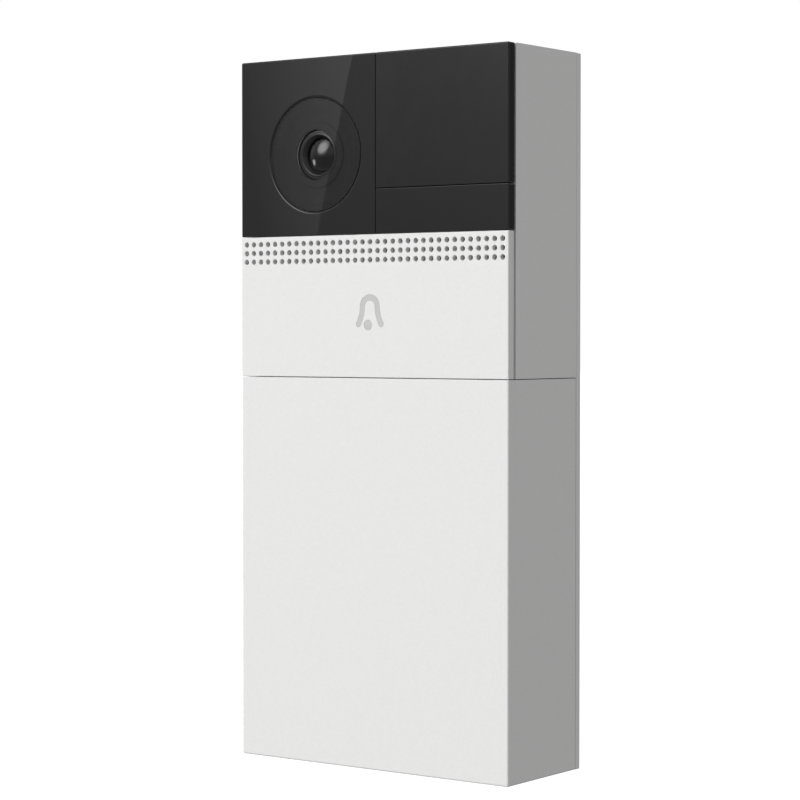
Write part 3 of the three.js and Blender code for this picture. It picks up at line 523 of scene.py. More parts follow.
def soften(piece, width, segments=2, angle=50, fine=None):
    """Rounds the edges sharper than an angle in degrees. fine(place) says which stay crisper."""
    bm = bmesh.new()
    bm.from_mesh(piece.data)
    weights = bm.edges.layers.float.new("bevel_weight_edge")
    for edge in bm.edges:
        if len(edge.link_faces) == 2 and edge.calc_face_angle() > math.radians(angle):
            middle = (edge.verts[0].co + edge.verts[1].co) / 2
            edge[weights] = FINE_PART if fine and fine(middle) else 1.0
    bm.to_mesh(piece.data)
    bm.free()
    modifier = piece.modifiers.new("soften", "BEVEL")
    modifier.width = width
    modifier.segments = segments
    modifier.limit_method = "WEIGHT"
    bake_modifiers(piece)
    piece.data.attributes.remove(piece.data.attributes["bevel_weight_edge"])
    return piece


def soft_box(name, low, high, width, segments=3, fine=None):
    return soften(rounded_box(name, low, high), width, segments, fine=fine)


def shade(piece, angle=35):
    """Smooth shading across gentle bends and crisp edges elsewhere, with flat faces kept flat."""
    bm = bmesh.new()
    bm.from_mesh(piece.data)
    for face in bm.faces:
        face.smooth = True
    for edge in bm.edges:
        edge.smooth = len(edge.link_faces) == 2 and edge.calc_face_angle() < math.radians(angle)
    bm.to_mesh(piece.data)
    bm.free()
    weighted = piece.modifiers.new("weighted_normals", "WEIGHTED_NORMAL")
    weighted.keep_sharp = True
    return piece


RECORD = frame["record"]
BODY_OF = {node: body for body, nodes in RECORD["behaviour"]["bodies"].items() for node in nodes}
SLOT_OF = {part["node"]: part["material_slot"] for part in RECORD["subparts"]}


def dress(piece, material, body, slot, *nodes):
    """Gives a piece its material and its body, and hides the CAD nodes that it stands for. The slot is not
    used.
    """
    piece.data.materials.clear()
    piece.data.materials.append(MATERIALS[material])
    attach(piece, body)
    if nodes:
        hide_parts(*nodes)
    return piece


def stand_in(piece, material, node, angle=40):
    """Shades a piece and puts it in the place of one CAD node."""
    return dress(shade(piece, angle), material, BODY_OF[node], SLOT_OF[node], node)


def extra(piece, material, slot=None, body="doorbell", angle=35):
    """Shades a piece that stands for no CAD node, and puts it on a body."""
    return dress(shade(piece, angle), material, body, slot or material)


def coat(piece, material, picks):
    """Gives another material to the faces that are picked."""
    piece.data.materials.append(MATERIALS[material])
    for face in piece.data.polygons:
        if picks(face):
            face.material_index = len(piece.data.materials) - 1


def whole(node, name):
    """A copy of a CAD node whose flat faces are each one face."""
    bm = bmesh.new()
    bm.from_mesh(frame["nodes"][node].data)
    bmesh.ops.remove_doubles(bm, verts=bm.verts, dist=1e-6)
    bmesh.ops.dissolve_limit(bm, angle_limit=math.radians(0.5), verts=bm.verts, edges=bm.edges)
    return from_bmesh(name, bm)


def let_light_in(piece):
    """Keeps a clear piece from shading or glittering on what lies behind it."""
    piece.visible_shadow = False
    piece.visible_diffuse = False
    piece.visible_glossy = False


# ---- Shells ----------------------------------------------------------------------------------

WALL = 1.8 * MM
EDGE = 0.42 * MM  # radius of the shells' outside edges
RIB_DEPTH = (-9.4 * MM, -8.0 * MM)
RIB_REACH = 1.4 * MM
RIB_TOP = 4 * MM
STIFFENER_XS = [x * MM for x in (-28, -14, 14, 28)]
SEAM_CLOSER = 0.13 * MM  # how far each shell reaches into the seam


def flared_hole(name, place, radius, depths, axis="Y", flare=0.12 * MM, sides=SMALL_ROUND):
    """A cutter for a round hole whose mouth, at the first depth, is slightly countersunk."""
    mouth, end = depths
    inwards = 1 if end > mouth else -1
    outside = mouth - inwards * 2 * MM
    profile = [
        (0, outside),
        (radius + flare, outside),
        (radius + flare, mouth),
        (radius, mouth + inwards * flare),
        (radius, end),
        (0, end),
    ]
    middle = (place[0], 0, place[1]) if axis == "Y" else (place[0], place[1], 0)
    return lathe(name, profile, middle, axis, sides)


def battery_cover():
    """A tub open at the back and the top, with guide ribs at its sides and thin ribs inside its front."""
    low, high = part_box("battery_cover")
    top = high.z + SEAM_CLOSER
    shell = rounded_box("cover_shell", low, high + Vector((0, 2 * MM, 2 * MM)), EDGE)
    beyond = 10 * MM
    carve(
        shell,
        rounded_box("top_cut", (-1, -1, top), (1, 1, top + beyond)),
        rounded_box("back_cut", (-1, high.y, -1), (1, high.y + beyond, 1)),
        rounded_box(
            "hollow",
            (low.x + WALL, low.y + WALL, low.z + WALL),
            (high.x - WALL, high.y + beyond, high.z + beyond),
            0.6 * MM,
        ),
    )
    soften(shell, 0.19 * MM)
    ribs = []
    for side in (-1, 1):
        inner = side * (high.x - WALL - RIB_REACH)
        outer = side * (high.x - WALL / 2)
        ribs.append(rounded_box(
            "rib",
            (min(inner, outer), RIB_DEPTH[0], low.z + WALL / 2),
            (max(inner, outer), RIB_DEPTH[1], RIB_TOP),
            0.25 * MM,
        ))
    for x in STIFFENER_XS:
        inside = low.y + WALL
        ribs.append(rounded_box(
            "stiffener",
            (x - 0.4 * MM, inside - WALL / 2, low.z + WALL / 2),
            (x + 0.4 * MM, inside + 0.7 * MM, 2 * MM),
            0.2 * MM,
        ))
    fuse(shell, *ribs)
    base = low.z
    place = centre("security_screw").xy
    carve(
        shell,
        flared_hole("hole", place, 1.3 * MM, (base, base + 3 * MM), "Z"),
        flared_hole("seat", place, 2.4 * MM, (base, base + 1 * MM), "Z", 0.2 * MM),
    )
    stand_in(shell, "white_shell", "battery_cover", 35)


def rounded_hole(name, place, radius, depths, mouth_radius):
    """A cutter for a round hole along Y whose mouth is rounded over outwards."""
    mouth, end = depths
    turns = [math.radians(90) * i / 6 for i in range(7)]
    flank = [(radius + mouth_radius * (1 - math.sin(t)), mouth + mouth_radius * (1 - math.cos(t)))
             for t in turns]
    profile = [(0, mouth - MM), (radius + mouth_radius, mouth - MM), *flank, (radius, end), (0, end)]
    return lathe(name, profile, (place[0], 0, place[1]))


def upper_housing():
    """The CAD's tub, its underside drawn down to close the seam, with crisper edges there and behind."""
    low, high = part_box("upper_housing")
    piece = whole("upper_housing", "housing_shell")
    for vertex in piece.data.vertices:
        if vertex.co.z < low.z + 0.01 * MM:
            vertex.co.z -= SEAM_CLOSER
    outside = 0.01 * MM

    def fine(place):
        at_side = abs(place.x) > high.x - outside
        at_front = place.y < low.y + outside
        at_top = place.z > high.z - outside
        return not (at_side and at_top) and not (at_side and at_front) and not (at_top and at_front)

    stand_in(soften(piece, EDGE, 4, fine=fine), "white_shell", "upper_housing", 35)


SLOT_HALF_WIDTH = 2.1 * MM
SLOT_REACH = 2.4 * MM  # from a slot's middle to the centre of its round end
SLOT_PLACES = [(x * MM, z * MM) for x in (-22, 22) for z in (-64, 64)]
HOOK_PLACES = [(x * MM, z * MM) for x, z in ((-15, 50), (15, 50), (-9.8, -48), (9.8, -48))]
HOOK_HALF = 1.8 * MM
HOOK_LIP_BACK = -4 * MM
POCKET_DEPTH = 0.45 * MM
POCKET_COLUMNS = [(-32 * MM, -12 * MM), (-10.8 * MM, 10.8 * MM), (12 * MM, 32 * MM)]
POCKET_ROWS = [(-56.5 * MM, -29 * MM), (-27.8 * MM, -0.6 * MM), (0.6 * MM, 27.8 * MM), (29 * MM, 56.5 * MM)]


def hook(place, low):
    """A hook whose lip points up, on a stem, with rounded edges."""
    x, z = place
    left = x - HOOK_HALF
    right = x + HOOK_HALF
    stem = rounded_box("hook", (left, low, z), (right, -1.4 * MM, z + 2 * MM), 0.2 * MM)
    lip = rounded_box("lip", (left, low, z), (right, HOOK_LIP_BACK, z + 6 * MM), 0.35 * MM)
    return fuse(stem, lip)


def plate_pockets(back):
    """Shallow sinks in the face towards the wall, which leave a grid of ribs, each with an ejector mark."""
    sinks = []
    floor_y = back - POCKET_DEPTH
    mark_y = floor_y - 0.08 * MM
    mark = [(0, mark_y), (1.6 * MM, mark_y), (1.6 * MM, back), (0, back)]
    for x0, x1 in POCKET_COLUMNS:
        for z0, z1 in POCKET_ROWS:
            sinks.append(rounded_box("sink", (x0, floor_y, z0), (x1, back + 2 * MM, z1), 0.3 * MM))
            sinks.append(lathe("mark", mark, ((x0 + x1) / 2, 0, (z0 + z1) / 2), sides=32))
    return sinks


def wall_plate():
    low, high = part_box("mounting_plate")
    front = -1.66 * MM
    plate = soft_box("wall_plate", (low.x, front, low.z), high, 0.3 * MM,
                     fine=lambda place: place.y < front / 2)
    back = high.y
    flare = 0.55 * MM
    levels = [
        (SLOT_HALF_WIDTH + flare, front - MM),
        (SLOT_HALF_WIDTH + flare, front),
        (SLOT_HALF_WIDTH, front + flare),
        (SLOT_HALF_WIDTH, back - 0.15 * MM),
        (SLOT_HALF_WIDTH + 0.15 * MM, back),
        (SLOT_HALF_WIDTH + 0.15 * MM, back + MM),
    ]
    carve(plate, *plate_pockets(back), *[pill("slot", place, SLOT_REACH, levels) for place in SLOT_PLACES])
    fuse(plate, *[hook(place, low.y) for place in HOOK_PLACES])
    stand_in(plate, "white_shell", "mounting_plate", 35)


battery_cover()
upper_housing()
wall_plate()

# ---- Front windows and lens ------------------------------------------------------------------

LENS_MIDDLE = centre("lens_bezel")
LENS_AXIS = (LENS_MIDDLE.x, 0, LENS_MIDDLE.z)
OPENING = 5.3 * MM  # radius of the opening round the lens
GLASS_RADIUS = 3.55 * MM


def pane(name, low_reach, high_reach):
    """A window, reaching a little further into the gaps at its sides. Its edges there stay crisp."""
    low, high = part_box(f"{name}_window")
    edge = cad_box[1].x - 0.01 * MM
    return soft_box(
        f"{name}_pane", low - Vector(low_reach), high + Vector(high_reach), 0.3 * MM, 4,
        fine=lambda place: abs(place.x) < edge and place.z < cad_box[1].z - 0.01 * MM,
    )


def windows():
    reach = 0.09 * MM
    drop = 0.2 * MM
    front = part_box("camera_window")[0].y
    camera_pane = pane("camera", (0, 0, drop), (reach, 0, 0))
    eye_radius = radius_of("lens_bezel") + 0.08 * MM
    carve(camera_pane, rounded_hole("eye", LENS_MIDDLE.xz, eye_radius, (front, MM), 0.45 * MM))
    stand_in(camera_pane, "gloss_black", "camera_window", 35)
    for name, low_reach, high_reach in (
        ("motion", (reach, 0, reach), (0, 0, 0)),
        ("sensor", (reach, 0, drop), (0, 0, reach)),
    ):
        stand_in(pane(name, low_reach, high_reach), "satin_black", f"{name}_window", 35)


def lens_cover():
    """The disc over the ring. It is smoked, with a coated back, but for its clear, unmirroring middle."""
    low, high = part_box("lens_cover")
    radius = radius_of("lens_cover")
    soft = 0.12 * MM
    profile = [
        (0, high.y),
        (OPENING, high.y),
        (radius, high.y),
        (radius, low.y + soft),
        (radius - soft, low.y),
        (OPENING, low.y),
        (0, low.y),
    ]
    disc = stand_in(lathe("lens_disc", profile, LENS_AXIS), "clear_cover", "lens_cover", 35)
    coat(disc, "coated_back", lambda face: face.normal.y > 0.9)
    coat(disc, "lens_black", lambda face: abs(face.normal.y) < 0.9)
    coat(disc, "clear_middle", lambda face: (face.center.xz - LENS_MIDDLE.xz).length < OPENING)
    let_light_in(disc)


def lens_ring():
    """The dished ring round the lens: a flat rim, a cone inwards, and a lip level with the rim."""
    low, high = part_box("lens_bezel")
    front = low.y
    outer = radius_of("lens_bezel")
    floor = front + 0.6 * MM
    profile = [
        (OPENING, high.y),
        (outer, high.y),
        (outer, front),
        (10.2 * MM, front),
        (8.7 * MM, floor),
        (7.1 * MM, floor),
        (6.9 * MM, front),
        (OPENING + 0.2 * MM, front),
        (OPENING, front + 0.2 * MM),
    ]
    ring = lathe("lens_ring", rounded_profile(profile, 0.15 * MM), LENS_AXIS)
    stand_in(ring, "ring_grey", "lens_bezel", 60)
    coat(ring, "lens_black", lambda face: abs(face.normal.y) < 0.8)


def dome(radius, edge, crown, steps=10):
    """Profile points from the rim to the middle of a shallow dome that bulges towards -Y."""
    points = []
    for step in range(1, steps + 1):
        part = 1 - step / steps
        points.append((radius * part, edge - crown * (1 - part * part)))
    return points


def lens_barrel():
    """The barrel: a flange that fills the bezel's opening, then a rim and a cone down to the glass."""
    low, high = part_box("lens_barrel")
    radius = radius_of("lens_barrel")
    front = low.y
    bore = 2.4 * MM
    flange = front + 0.1 * MM
    seat = GLASS_RADIUS + 0.04 * MM
    profile = [
        (bore, high.y),
        (radius, high.y),
        (radius, flange + 0.5 * MM),
        (OPENING - 0.06 * MM, flange + 0.5 * MM),
        (OPENING - 0.06 * MM, flange),
        (4.6 * MM, flange),
        (4.4 * MM, front),
        (4.2 * MM, front + 0.1 * MM),
        (seat, front + 0.85 * MM),
        (seat, front + 1.9 * MM),
        (bore, front + 2.1 * MM),
    ]
    barrel = lathe("barrel", rounded_profile(profile, 0.15 * MM), LENS_AXIS, sides=96)
    stand_in(barrel, "lens_black", "lens_barrel", 50)


def lens_glass():
    low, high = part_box("lens_glass")
    radius = GLASS_RADIUS
    crown = 1.1 * MM
    edge = low.y + crown
    chamfer = 0.15 * MM
    profile = [(0, high.y), (radius - chamfer, high.y), (radius, high.y - chamfer), (radius, edge),
               *dome(radius, edge, crown, 16)]
    glass = stand_in(lathe("front_lens", profile, LENS_AXIS, sides=96), "lens_glass", "lens_glass")
    coat(glass, "coated_back", lambda face: face.normal.y > 0.9)
    coat(glass, "lens_black", lambda face: abs(face.normal.y) < 0.3)
    let_light_in(glass)


def inner_lens():
    """A second lens behind the front one, and the aperture stop behind that."""
    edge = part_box("lens_glass")[1].y + 1.2 * MM
    back = edge + 0.9 * MM
    radius = 2.25 * MM
    profile = [(0, back), (radius, back), (radius, edge), *dome(radius, edge, 0.7 * MM)]
    extra(lathe("inner_lens", profile, LENS_AXIS, sides=64), "inner_glass", "lens_glass", angle=40)
    front = edge + 1.1 * MM
    back = front + 0.25 * MM
    profile = [(0.8 * MM, front), (0.9 * MM, back), (2.3 * MM, back), (2.3 * MM, front)]
    extra(lathe("aperture_stop", profile, LENS_AXIS, sides=64), "lens_black", "satin_black", angle=40)


windows()
lens_cover()
lens_ring()
lens_barrel()
lens_glass()
inner_lens()

# ---- Bell button -----------------------------------------------------------------------------

COLUMNS = 35
ROWS = (31.9, 33.775, 35.65)
PITCH = 1.963
HOLE_RADIUS = 0.56 * MM
STROKE = 0.64  # half the width of the bell sign's line
ARCH_RADIUS = 1.94
ARCH_MIDDLE = 22.13
FOOT = (2.96, 18.5)
CLAPPER = (-0.5, 18.3)
CLAPPER_RADIUS = 1.05
BUTTON_BACK = -25.2 * MM
MESH_BOX = (Vector((-34.2, -25.9, 30.9)) * MM, Vector((34.2, -25.7, 36.6)) * MM)
SWITCH_Z = 13 * MM
POST_END = -22.3 * MM
CLIP_PLACES = [(x * MM, z * MM) for x in (-29, 29) for z in (17.5, 27.5)]


def bell_centreline(steps=14):
    """The right half of the bell's line, from the top of the arch to the end of the foot."""
    arch = [
        Vector((ARCH_RADIUS * math.sin(turn), ARCH_MIDDLE + ARCH_RADIUS * math.cos(turn)))
        for turn in (math.pi / 2 * i / steps for i in range(steps + 1))
    ]
    start = arch[-1]
    knee = Vector((ARCH_RADIUS + 0.05, 20.2))
    foot = Vector(FOOT)
    leg = [start * (1 - t) ** 2 + knee * 2 * t * (1 - t) + foot * t ** 2
           for t in (i / steps for i in range(1, steps + 1))]
    return arch + leg


def bell_outline(margin):
    """The bell sign's closed outline, grown by a margin in millimetres."""
    right = bell_centreline()
    line = [Vector((-p.x, p.y)) for p in reversed(right[1:])] + right
    half = STROKE + margin
    tangents = [(line[min(i + 1, len(line) - 1)] - line[max(i - 1, 0)]).normalized()
                for i in range(len(line))]
    sides = [Vector((-t.y, t.x)) for t in tangents]
    left = [p + n * half for p, n in zip(line, sides)]
    other = [p - n * half for p, n in zip(line, sides)]

    def cap(point, normal, steps=8):
        start = math.atan2(normal.y, normal.x)
        turns = [start - math.pi * i / steps for i in range(1, steps)]
        return [point + Vector((math.cos(turn), math.sin(turn))) * half for turn in turns]

    whole_line = left + cap(line[-1], sides[-1]) + list(reversed(other)) + cap(line[0], -sides[0])
    return [(p.x * MM, p.y * MM) for p in whole_line]


def grille_cutter(front, back):
    holes = []
    for z in ROWS:
        for column in range(COLUMNS):
            x = (column - (COLUMNS - 1) / 2) * PITCH * MM
            holes.append(flared_hole("hole", (x, z * MM), HOLE_RADIUS, (front, back + MM),
                                     flare=0.07 * MM, sides=24))
    return gather("grille", holes)


def clip_leg(x, z):
    """A leg pointing back, with a barb on the side away from the middle that slants at its tip."""
    out = math.copysign(1, x)
    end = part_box("bell_button")[1].y
    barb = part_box("front_chassis")[1].y + 0.3 * MM
    half = 1.2 * MM
    outline = [
        (x - out * half, BUTTON_BACK - 0.3 * MM),
        (x + out * half, BUTTON_BACK - 0.3 * MM),
        (x + out * half, barb),
        (x + out * (half + 0.7 * MM), barb + 0.1 * MM),
        (x + out * 0.7 * half, end),
        (x - out * half, end),
    ]
    return prism("leg", outline, z - 0.7 * MM, z + 0.7 * MM, "Z")


def bell_button():
    low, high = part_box("bell_button")
    back = BUTTON_BACK
    guide = centre("bell_light_guide")
    pocket_radius = radius_of("bell_light_guide") + 0.2 * MM
    seat = -26.2 * MM
    bottom = low.z - SEAM_CLOSER
    plate = soft_box("button_plate", (low.x, low.y, bottom), (high.x, back, high.z), 0.3 * MM,
                     fine=lambda place: place.z < low.z or place.y > back - 0.01 * MM)
    margin = 0.03
    depth = seat + 0.2 * MM
    clapper = (CLAPPER[0] * MM, CLAPPER[1] * MM)
    mesh_low, mesh_high = MESH_BOX
    pocket = [(0, seat), (pocket_radius, seat), (pocket_radius, back + MM), (0, back + MM)]
    carve(
        plate,
        lathe("pocket", pocket, (guide.x, 0, guide.z)),
        rounded_box("mesh_seat", mesh_low, (mesh_high.x, back + MM, mesh_high.z)),
        prism("sign", bell_outline(margin), low.y - MM, depth),
        flared_hole("clapper", clapper, (CLAPPER_RADIUS + margin) * MM, (low.y, depth), flare=0.01 * MM),
        grille_cutter(low.y, mesh_low.y),
    )
    start = back - 0.3 * MM
    shoulder = POST_END - 0.3 * MM
    post = [(0, start), (1.6 * MM, start), (1.6 * MM, shoulder), (1.3 * MM, POST_END), (0, POST_END)]
    fuse(plate, lathe("post", post, (0, 0, SWITCH_Z), sides=SMALL_ROUND))
    fuse(plate, *[clip_leg(x, z) for x, z in CLIP_PLACES])
    stand_in(plate, "white_shell", "bell_button", 35)
    extra(rounded_box("acoustic_mesh", mesh_low, mesh_high, 0.05 * MM), "mesh", "dark_plastic", "button")


def bell_sign():
    middle = centre("bell_light_guide")
    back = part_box("bell_light_guide")[1].y
    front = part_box("bell_button")[0].y + 0.04 * MM
    seat = -26.1 * MM
    foot = seat + 0.2 * MM
    radius = 5.2 * MM
    base = [(0, seat), (radius - 0.1 * MM, seat), (radius, seat + 0.1 * MM), (radius, back), (0, back)]
    disc = lathe("bell_sign", base, (middle.x, 0, middle.z), sides=96)
    dot = [(0, front), (CLAPPER_RADIUS * MM, front), (CLAPPER_RADIUS * MM, foot), (0, foot)]
    clapper = lathe("dot", rounded_profile(dot, 0.08 * MM), (CLAPPER[0] * MM, 0, CLAPPER[1] * MM),
                    sides=SMALL_ROUND)
    fuse(disc, prism("bell", bell_outline(0), front, foot), clapper)
    stand_in(disc, "icon_grey", "bell_light_guide", 35)


bell_button()
bell_sign()

# ---- Battery bay -----------------------------------------------------------------------------

CELLS = (1, 2, 3)
CAP_HEIGHT = 0.8 * MM  # how far a cell's cap stands above its sleeve


def cells():
    """Each cell: a grooved sleeve over a can, with an insulating ring and a cap at its top."""
    for i in CELLS:
        low, high, middle = extent(f"battery_cell_{i}")
        radius = radius_of(f"battery_cell_{i}")
        top = high.z - CAP_HEIGHT
        sleeve = [
            (7.4 * MM, low.z + 0.25 * MM), (7.4 * MM, low.z), (radius - 0.7 * MM, low.z),
            (radius, low.z + 0.7 * MM), (radius, top - 3.6 * MM), (radius - 0.45 * MM, top - 3.0 * MM),
            (radius - 0.45 * MM, top - 2.6 * MM), (radius, top - 2.0 * MM), (radius, top - 0.6 * MM),
            (radius - 0.6 * MM, top), (7.0 * MM, top), (7.0 * MM, top - 0.25 * MM),
        ]
        place = (middle.x, middle.y, 0)
        skin = lathe(f"cell_sleeve_{i}", rounded_profile(sleeve, 0.4 * MM), place, "Z", 96)
        stand_in(skin, "cell_wrap", f"battery_cell_{i}", 60)
        paper = in_mm((3.2, -0.3), (6.95, -0.3), (6.95, -0.05), (3.2, -0.05), start=top)
        extra(lathe(f"cell_insulator_{i}", paper, place, "Z", 64), "insulator", "cell_wrap")
        cap = [(0, top - 0.5 * MM), (3.1 * MM, top - 0.5 * MM), (3.1 * MM, top),
               (2.8 * MM, high.z - 0.15 * MM), (2.4 * MM, high.z), (0, high.z)]
        button = lathe(f"cell_cap_{i}", rounded_profile(cap, 0.15 * MM), place, "Z", 64)
        extra(button, "nickel", angle=50)
        base = in_mm((0, 0.1), (7.35, 0.1), (7.35, 0.5), (0, 0.5), start=low.z)
        extra(lathe(f"cell_base_{i}", base, place, "Z", 64), "nickel")


def helix_points(middle, low, high, wide, narrow, turns, steps_per_turn=28):
    """Points up a cone of wire, with a flat closed turn at its foot."""
    points = []
    count = int(turns * steps_per_turn)
    for i in range(count + 1):
        t = i / count
        climb = max(0.0, (t * turns - 1) / (turns - 1))
        radius = wide + (narrow - wide) * climb
        turn = t * turns * 2 * math.pi
        points.append(Vector((middle.x + radius * math.cos(turn), middle.y + radius * math.sin(turn),
                              low + (high - low) * climb)))
    return points


def tube(name, points, radius, sides=12):
    """A round wire along a list of points, closed at both ends."""
    rings = []
    side = Vector((0, 0, 1))
    for i, point in enumerate(points):
        ahead = (points[min(i + 1, len(points) - 1)] - points[max(i - 1, 0)]).normalized()
        across = ahead.cross(side).normalized()
        upright = across.cross(ahead)
        rings.append([
            point + (across * math.cos(turn) + upright * math.sin(turn)) * radius
            for turn in (2 * math.pi * k / sides for k in range(sides))
        ])
    return skinned(name, rings)


def cell_springs():
    wire = 0.36 * MM
    for i in CELLS:
        low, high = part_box(f"cell_spring_{i}")
        middle = centre(f"battery_cell_{i}")
        points = helix_points(middle, low.z + wire, high.z - wire, 4.2 * MM, 2.5 * MM, 4.25)
        stand_in(tube(f"spring_wire_{i}", points, wire), "nickel", f"cell_spring_{i}", 60)


def screw_profile(start, end, head_radius, head_height, thread_radius, pitch=0.45 * MM):
    """A screw from the front of its head to its tip: a crowned head, then rings of thread."""
    neck = start + head_height
    profile = [
        (0, start),
        (0.8 * head_radius, start),
        (head_radius, start + 0.4 * head_height),
        (head_radius, neck),
        (thread_radius, neck),
    ]
    turns = int((end - neck - 2 * pitch) / pitch)
    for i in range(turns):
        place = neck + (i + 0.8) * pitch
        profile += [(0.78 * thread_radius, place), (thread_radius, place + pitch / 2)]
    return profile + [(0.8 * thread_radius, end - pitch), (0.35 * thread_radius, end), (0, end)]


def security_screw():
    low, high, middle = extent("security_screw")
    place = (middle.x, middle.y, 0)
    profile = screw_profile(low.z, high.z, 2 * MM, 0.7 * MM, 1 * MM)
    screw = lathe("cover_screw", profile, place, "Z", SMALL_ROUND)
    depth = low.z + 0.4 * MM
    hexagon = [(0, low.z - MM), (0.9 * MM, low.z - MM), (0.9 * MM, depth), (0, depth)]
    carve(screw, lathe("hexagon", hexagon, place, "Z", 6))
    stand_in(screw, "steel", "security_screw")


def cross_screws():
    """The chassis and board screws, which point back and have a cross recess."""
    for kind, head_radius, head_height in (("chassis", 2 * MM, 0.7 * MM), ("board", 1.9 * MM, 1.1 * MM)):
        for i in (1, 2, 3, 4):
            node = f"{kind}_screw_{i}"
            low, high, middle = extent(node)
            profile = screw_profile(low.y, high.y, head_radius, head_height, 0.8 * MM)
            piece = lathe(f"{kind}_fixing_{i}", profile, (middle.x, 0, middle.z), sides=SMALL_ROUND)
            reach = 0.6 * head_radius
            thin = 0.12 * head_radius
            cross = [
                rounded_box("arm", (middle.x - x, low.y - MM, middle.z - z),
                            (middle.x + x, low.y + 0.5 * head_height, middle.z + z))
                for x, z in ((reach, thin), (thin, reach))
            ]
            stand_in(carve(piece, *cross), "steel", node)


def cell_contacts():
    """Flat contacts at the top of the bay, each with a dimple towards its cell."""
    for i in CELLS:
        node = f"cell_contact_{i}"
        low, high, middle = extent(node)
        plate = rounded_box(f"contact_plate_{i}", low, high, 0.12 * MM, 2)
        dimple = in_mm((0, 0.2), (2.2, 0.2), (1.9, -0.02), (1.1, -0.1), (0, -0.13), start=low.z)
        fuse(plate, lathe("dimple", dimple, (middle.x, middle.y, 0), "Z", SMALL_ROUND))
        stand_in(plate, "nickel", node)


def polarity_marks():
    """A plus above and a minus below each cell, printed on the front of the tray."""
    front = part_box("battery_tray")[0].y
    plus_z = 0.95 * MM
    minus_z = -71.8 * MM
    long = 0.65 * MM
    thin = 0.17 * MM
    marks = []
    for i in CELLS:
        x = centre(f"battery_cell_{i}").x
        for z, half_x, half_z in ((plus_z, long, thin), (plus_z, thin, long), (minus_z, long, thin)):
            marks.append(rounded_box("mark", (x - half_x, front - 0.06 * MM, z - half_z),
                                     (x + half_x, front + 0.1 * MM, z + half_z)))
    dress(gather("polarity_marks", marks), "icon_grey", "doorbell", "icon_grey")


cells()
cell_springs()
cell_contacts()
security_screw()
polarity_marks()

# ---- Sockets behind the cover ------------------------------------------------------------------


def usb_port():
    """A round-ended metal shell with a tongue that carries two rows of contacts."""
    low, high, middle = extent("usb_port")
    place = (middle.x, middle.z)
    radius = (high.z - low.z) / 2
    reach = (high.x - low.x) / 2 - radius
    wall = 0.32 * MM
    shell = pill("usb_shell", place, reach,
                 [(radius - 0.1 * MM, low.y), (radius, low.y + 0.1 * MM), (radius, high.y)], upright=False)
    inside = radius - wall
    mouth = [(radius - wall / 2, low.y - MM), (radius - wall / 2, low.y), (inside, low.y + 0.15 * MM),
             (inside, high.y - 0.6 * MM)]
    carve(shell, pill("mouth", place, reach, mouth, upright=False))
    stand_in(shell, "nickel", "usb_port")
    tongue = rounded_box("usb_tongue", (middle.x - 2.7 * MM, low.y + 0.7 * MM, middle.z - 0.32 * MM),
                         (middle.x + 2.7 * MM, high.y - 0.5 * MM, middle.z + 0.32 * MM), 0.12 * MM)
    extra(tongue, "chip_black")
    contacts = [
        rounded_box("contact", (middle.x + x - 0.13 * MM, low.y + MM, middle.z + z - 0.04 * MM),
                    (middle.x + x + 0.13 * MM, high.y - 0.7 * MM, middle.z + z + 0.04 * MM))
        for x in (i * 0.5 * MM for i in range(-5, 6)) for z in (-0.33 * MM, 0.33 * MM)
    ]
    dress(gather("usb_contacts", contacts), "brass", "doorbell", "brass")


def memory_card():
    """A thin card with a finger ridge across its front end."""
    low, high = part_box("memory_card")
    card = rounded_box("card", low, high, 0.12 * MM)
    ridges = [
        rounded_box("ridge", (low.x + MM, low.y + y, high.z - 0.1 * MM),
                    (high.x - MM, low.y + y + 0.3 * MM, high.z + 0.12 * MM), 0.08 * MM)
        for y in (0.4 * MM, 1.0 * MM)
    ]
    stand_in(fuse(card, *ridges), "chip_black", "memory_card")


def reset_button():
    """A round key with a slightly sunken middle."""
    low, high, middle = extent("reset_button")
    profile = [(0, high.y), (1.3 * MM, high.y),
               *in_mm((1.3, 0), (1, 0), (0.6, 0.12), (0, 0.16), start=low.y)]
    key = lathe("reset_key", rounded_profile(profile, 0.12 * MM), (middle.x, 0, middle.z), sides=SMALL_ROUND)
    stand_in(key, "white_shell", "reset_button")


usb_port()
memory_card()
reset_button()

# ---- Parts inside ------------------------------------------------------------------------------


def turned(node, material, profile, softness=0.12 * MM):
    """A round piece about the node's own middle, facing forwards, with its corners rounded."""
    middle = centre(node)
    piece = lathe(f"{node}_turned", rounded_profile(profile, softness), (middle.x, 0, middle.z), sides=64)
    return stand_in(piece, material, node, 50)


def speaker():
    """A basket, its magnet, and a paper cone with a rolled edge and a round cap."""
    turned("speaker_frame", "dark_plastic", in_mm(
        (5.4, -18.2), (8.4, -18.2), (8.4, -20.6), (9.4, -20.6), (9.4, -19.8), (9.0, -19.6),
        (9.0, -17.7), (8.7, -17.4), (5.4, -17.4)))
    turned("speaker_magnet", "magnet", in_mm(
        (0, -14.2), (5, -14.2), (5, -16.9), (4.75, -17.0), (4.75, -17.2), (5, -17.3), (5, -18.3), (0, -18.3)))
    turned("speaker_gasket", "rubber", in_mm((8.2, -20.8), (9.4, -20.8), (9.4, -22.3), (8.2, -22.3)))
    quarter = [math.radians(90 * i / 8) for i in range(9)]
    half = [math.radians(180 * i / 12) for i in range(13)]
    cap = [(3.9 * math.sin(t), -19.15 - 1.05 * math.cos(t)) for t in quarter]
    roll = [(7.4 - 0.6 * math.cos(t), -20.0 - 0.5 * math.sin(t)) for t in half]
    front = [*cap, *roll, (8.1, -20.0)]
    back = [(radius, along + 0.3) for radius, along in reversed(front)]
    turned("speaker_cone", "paper", in_mm(*front, *back), 0)


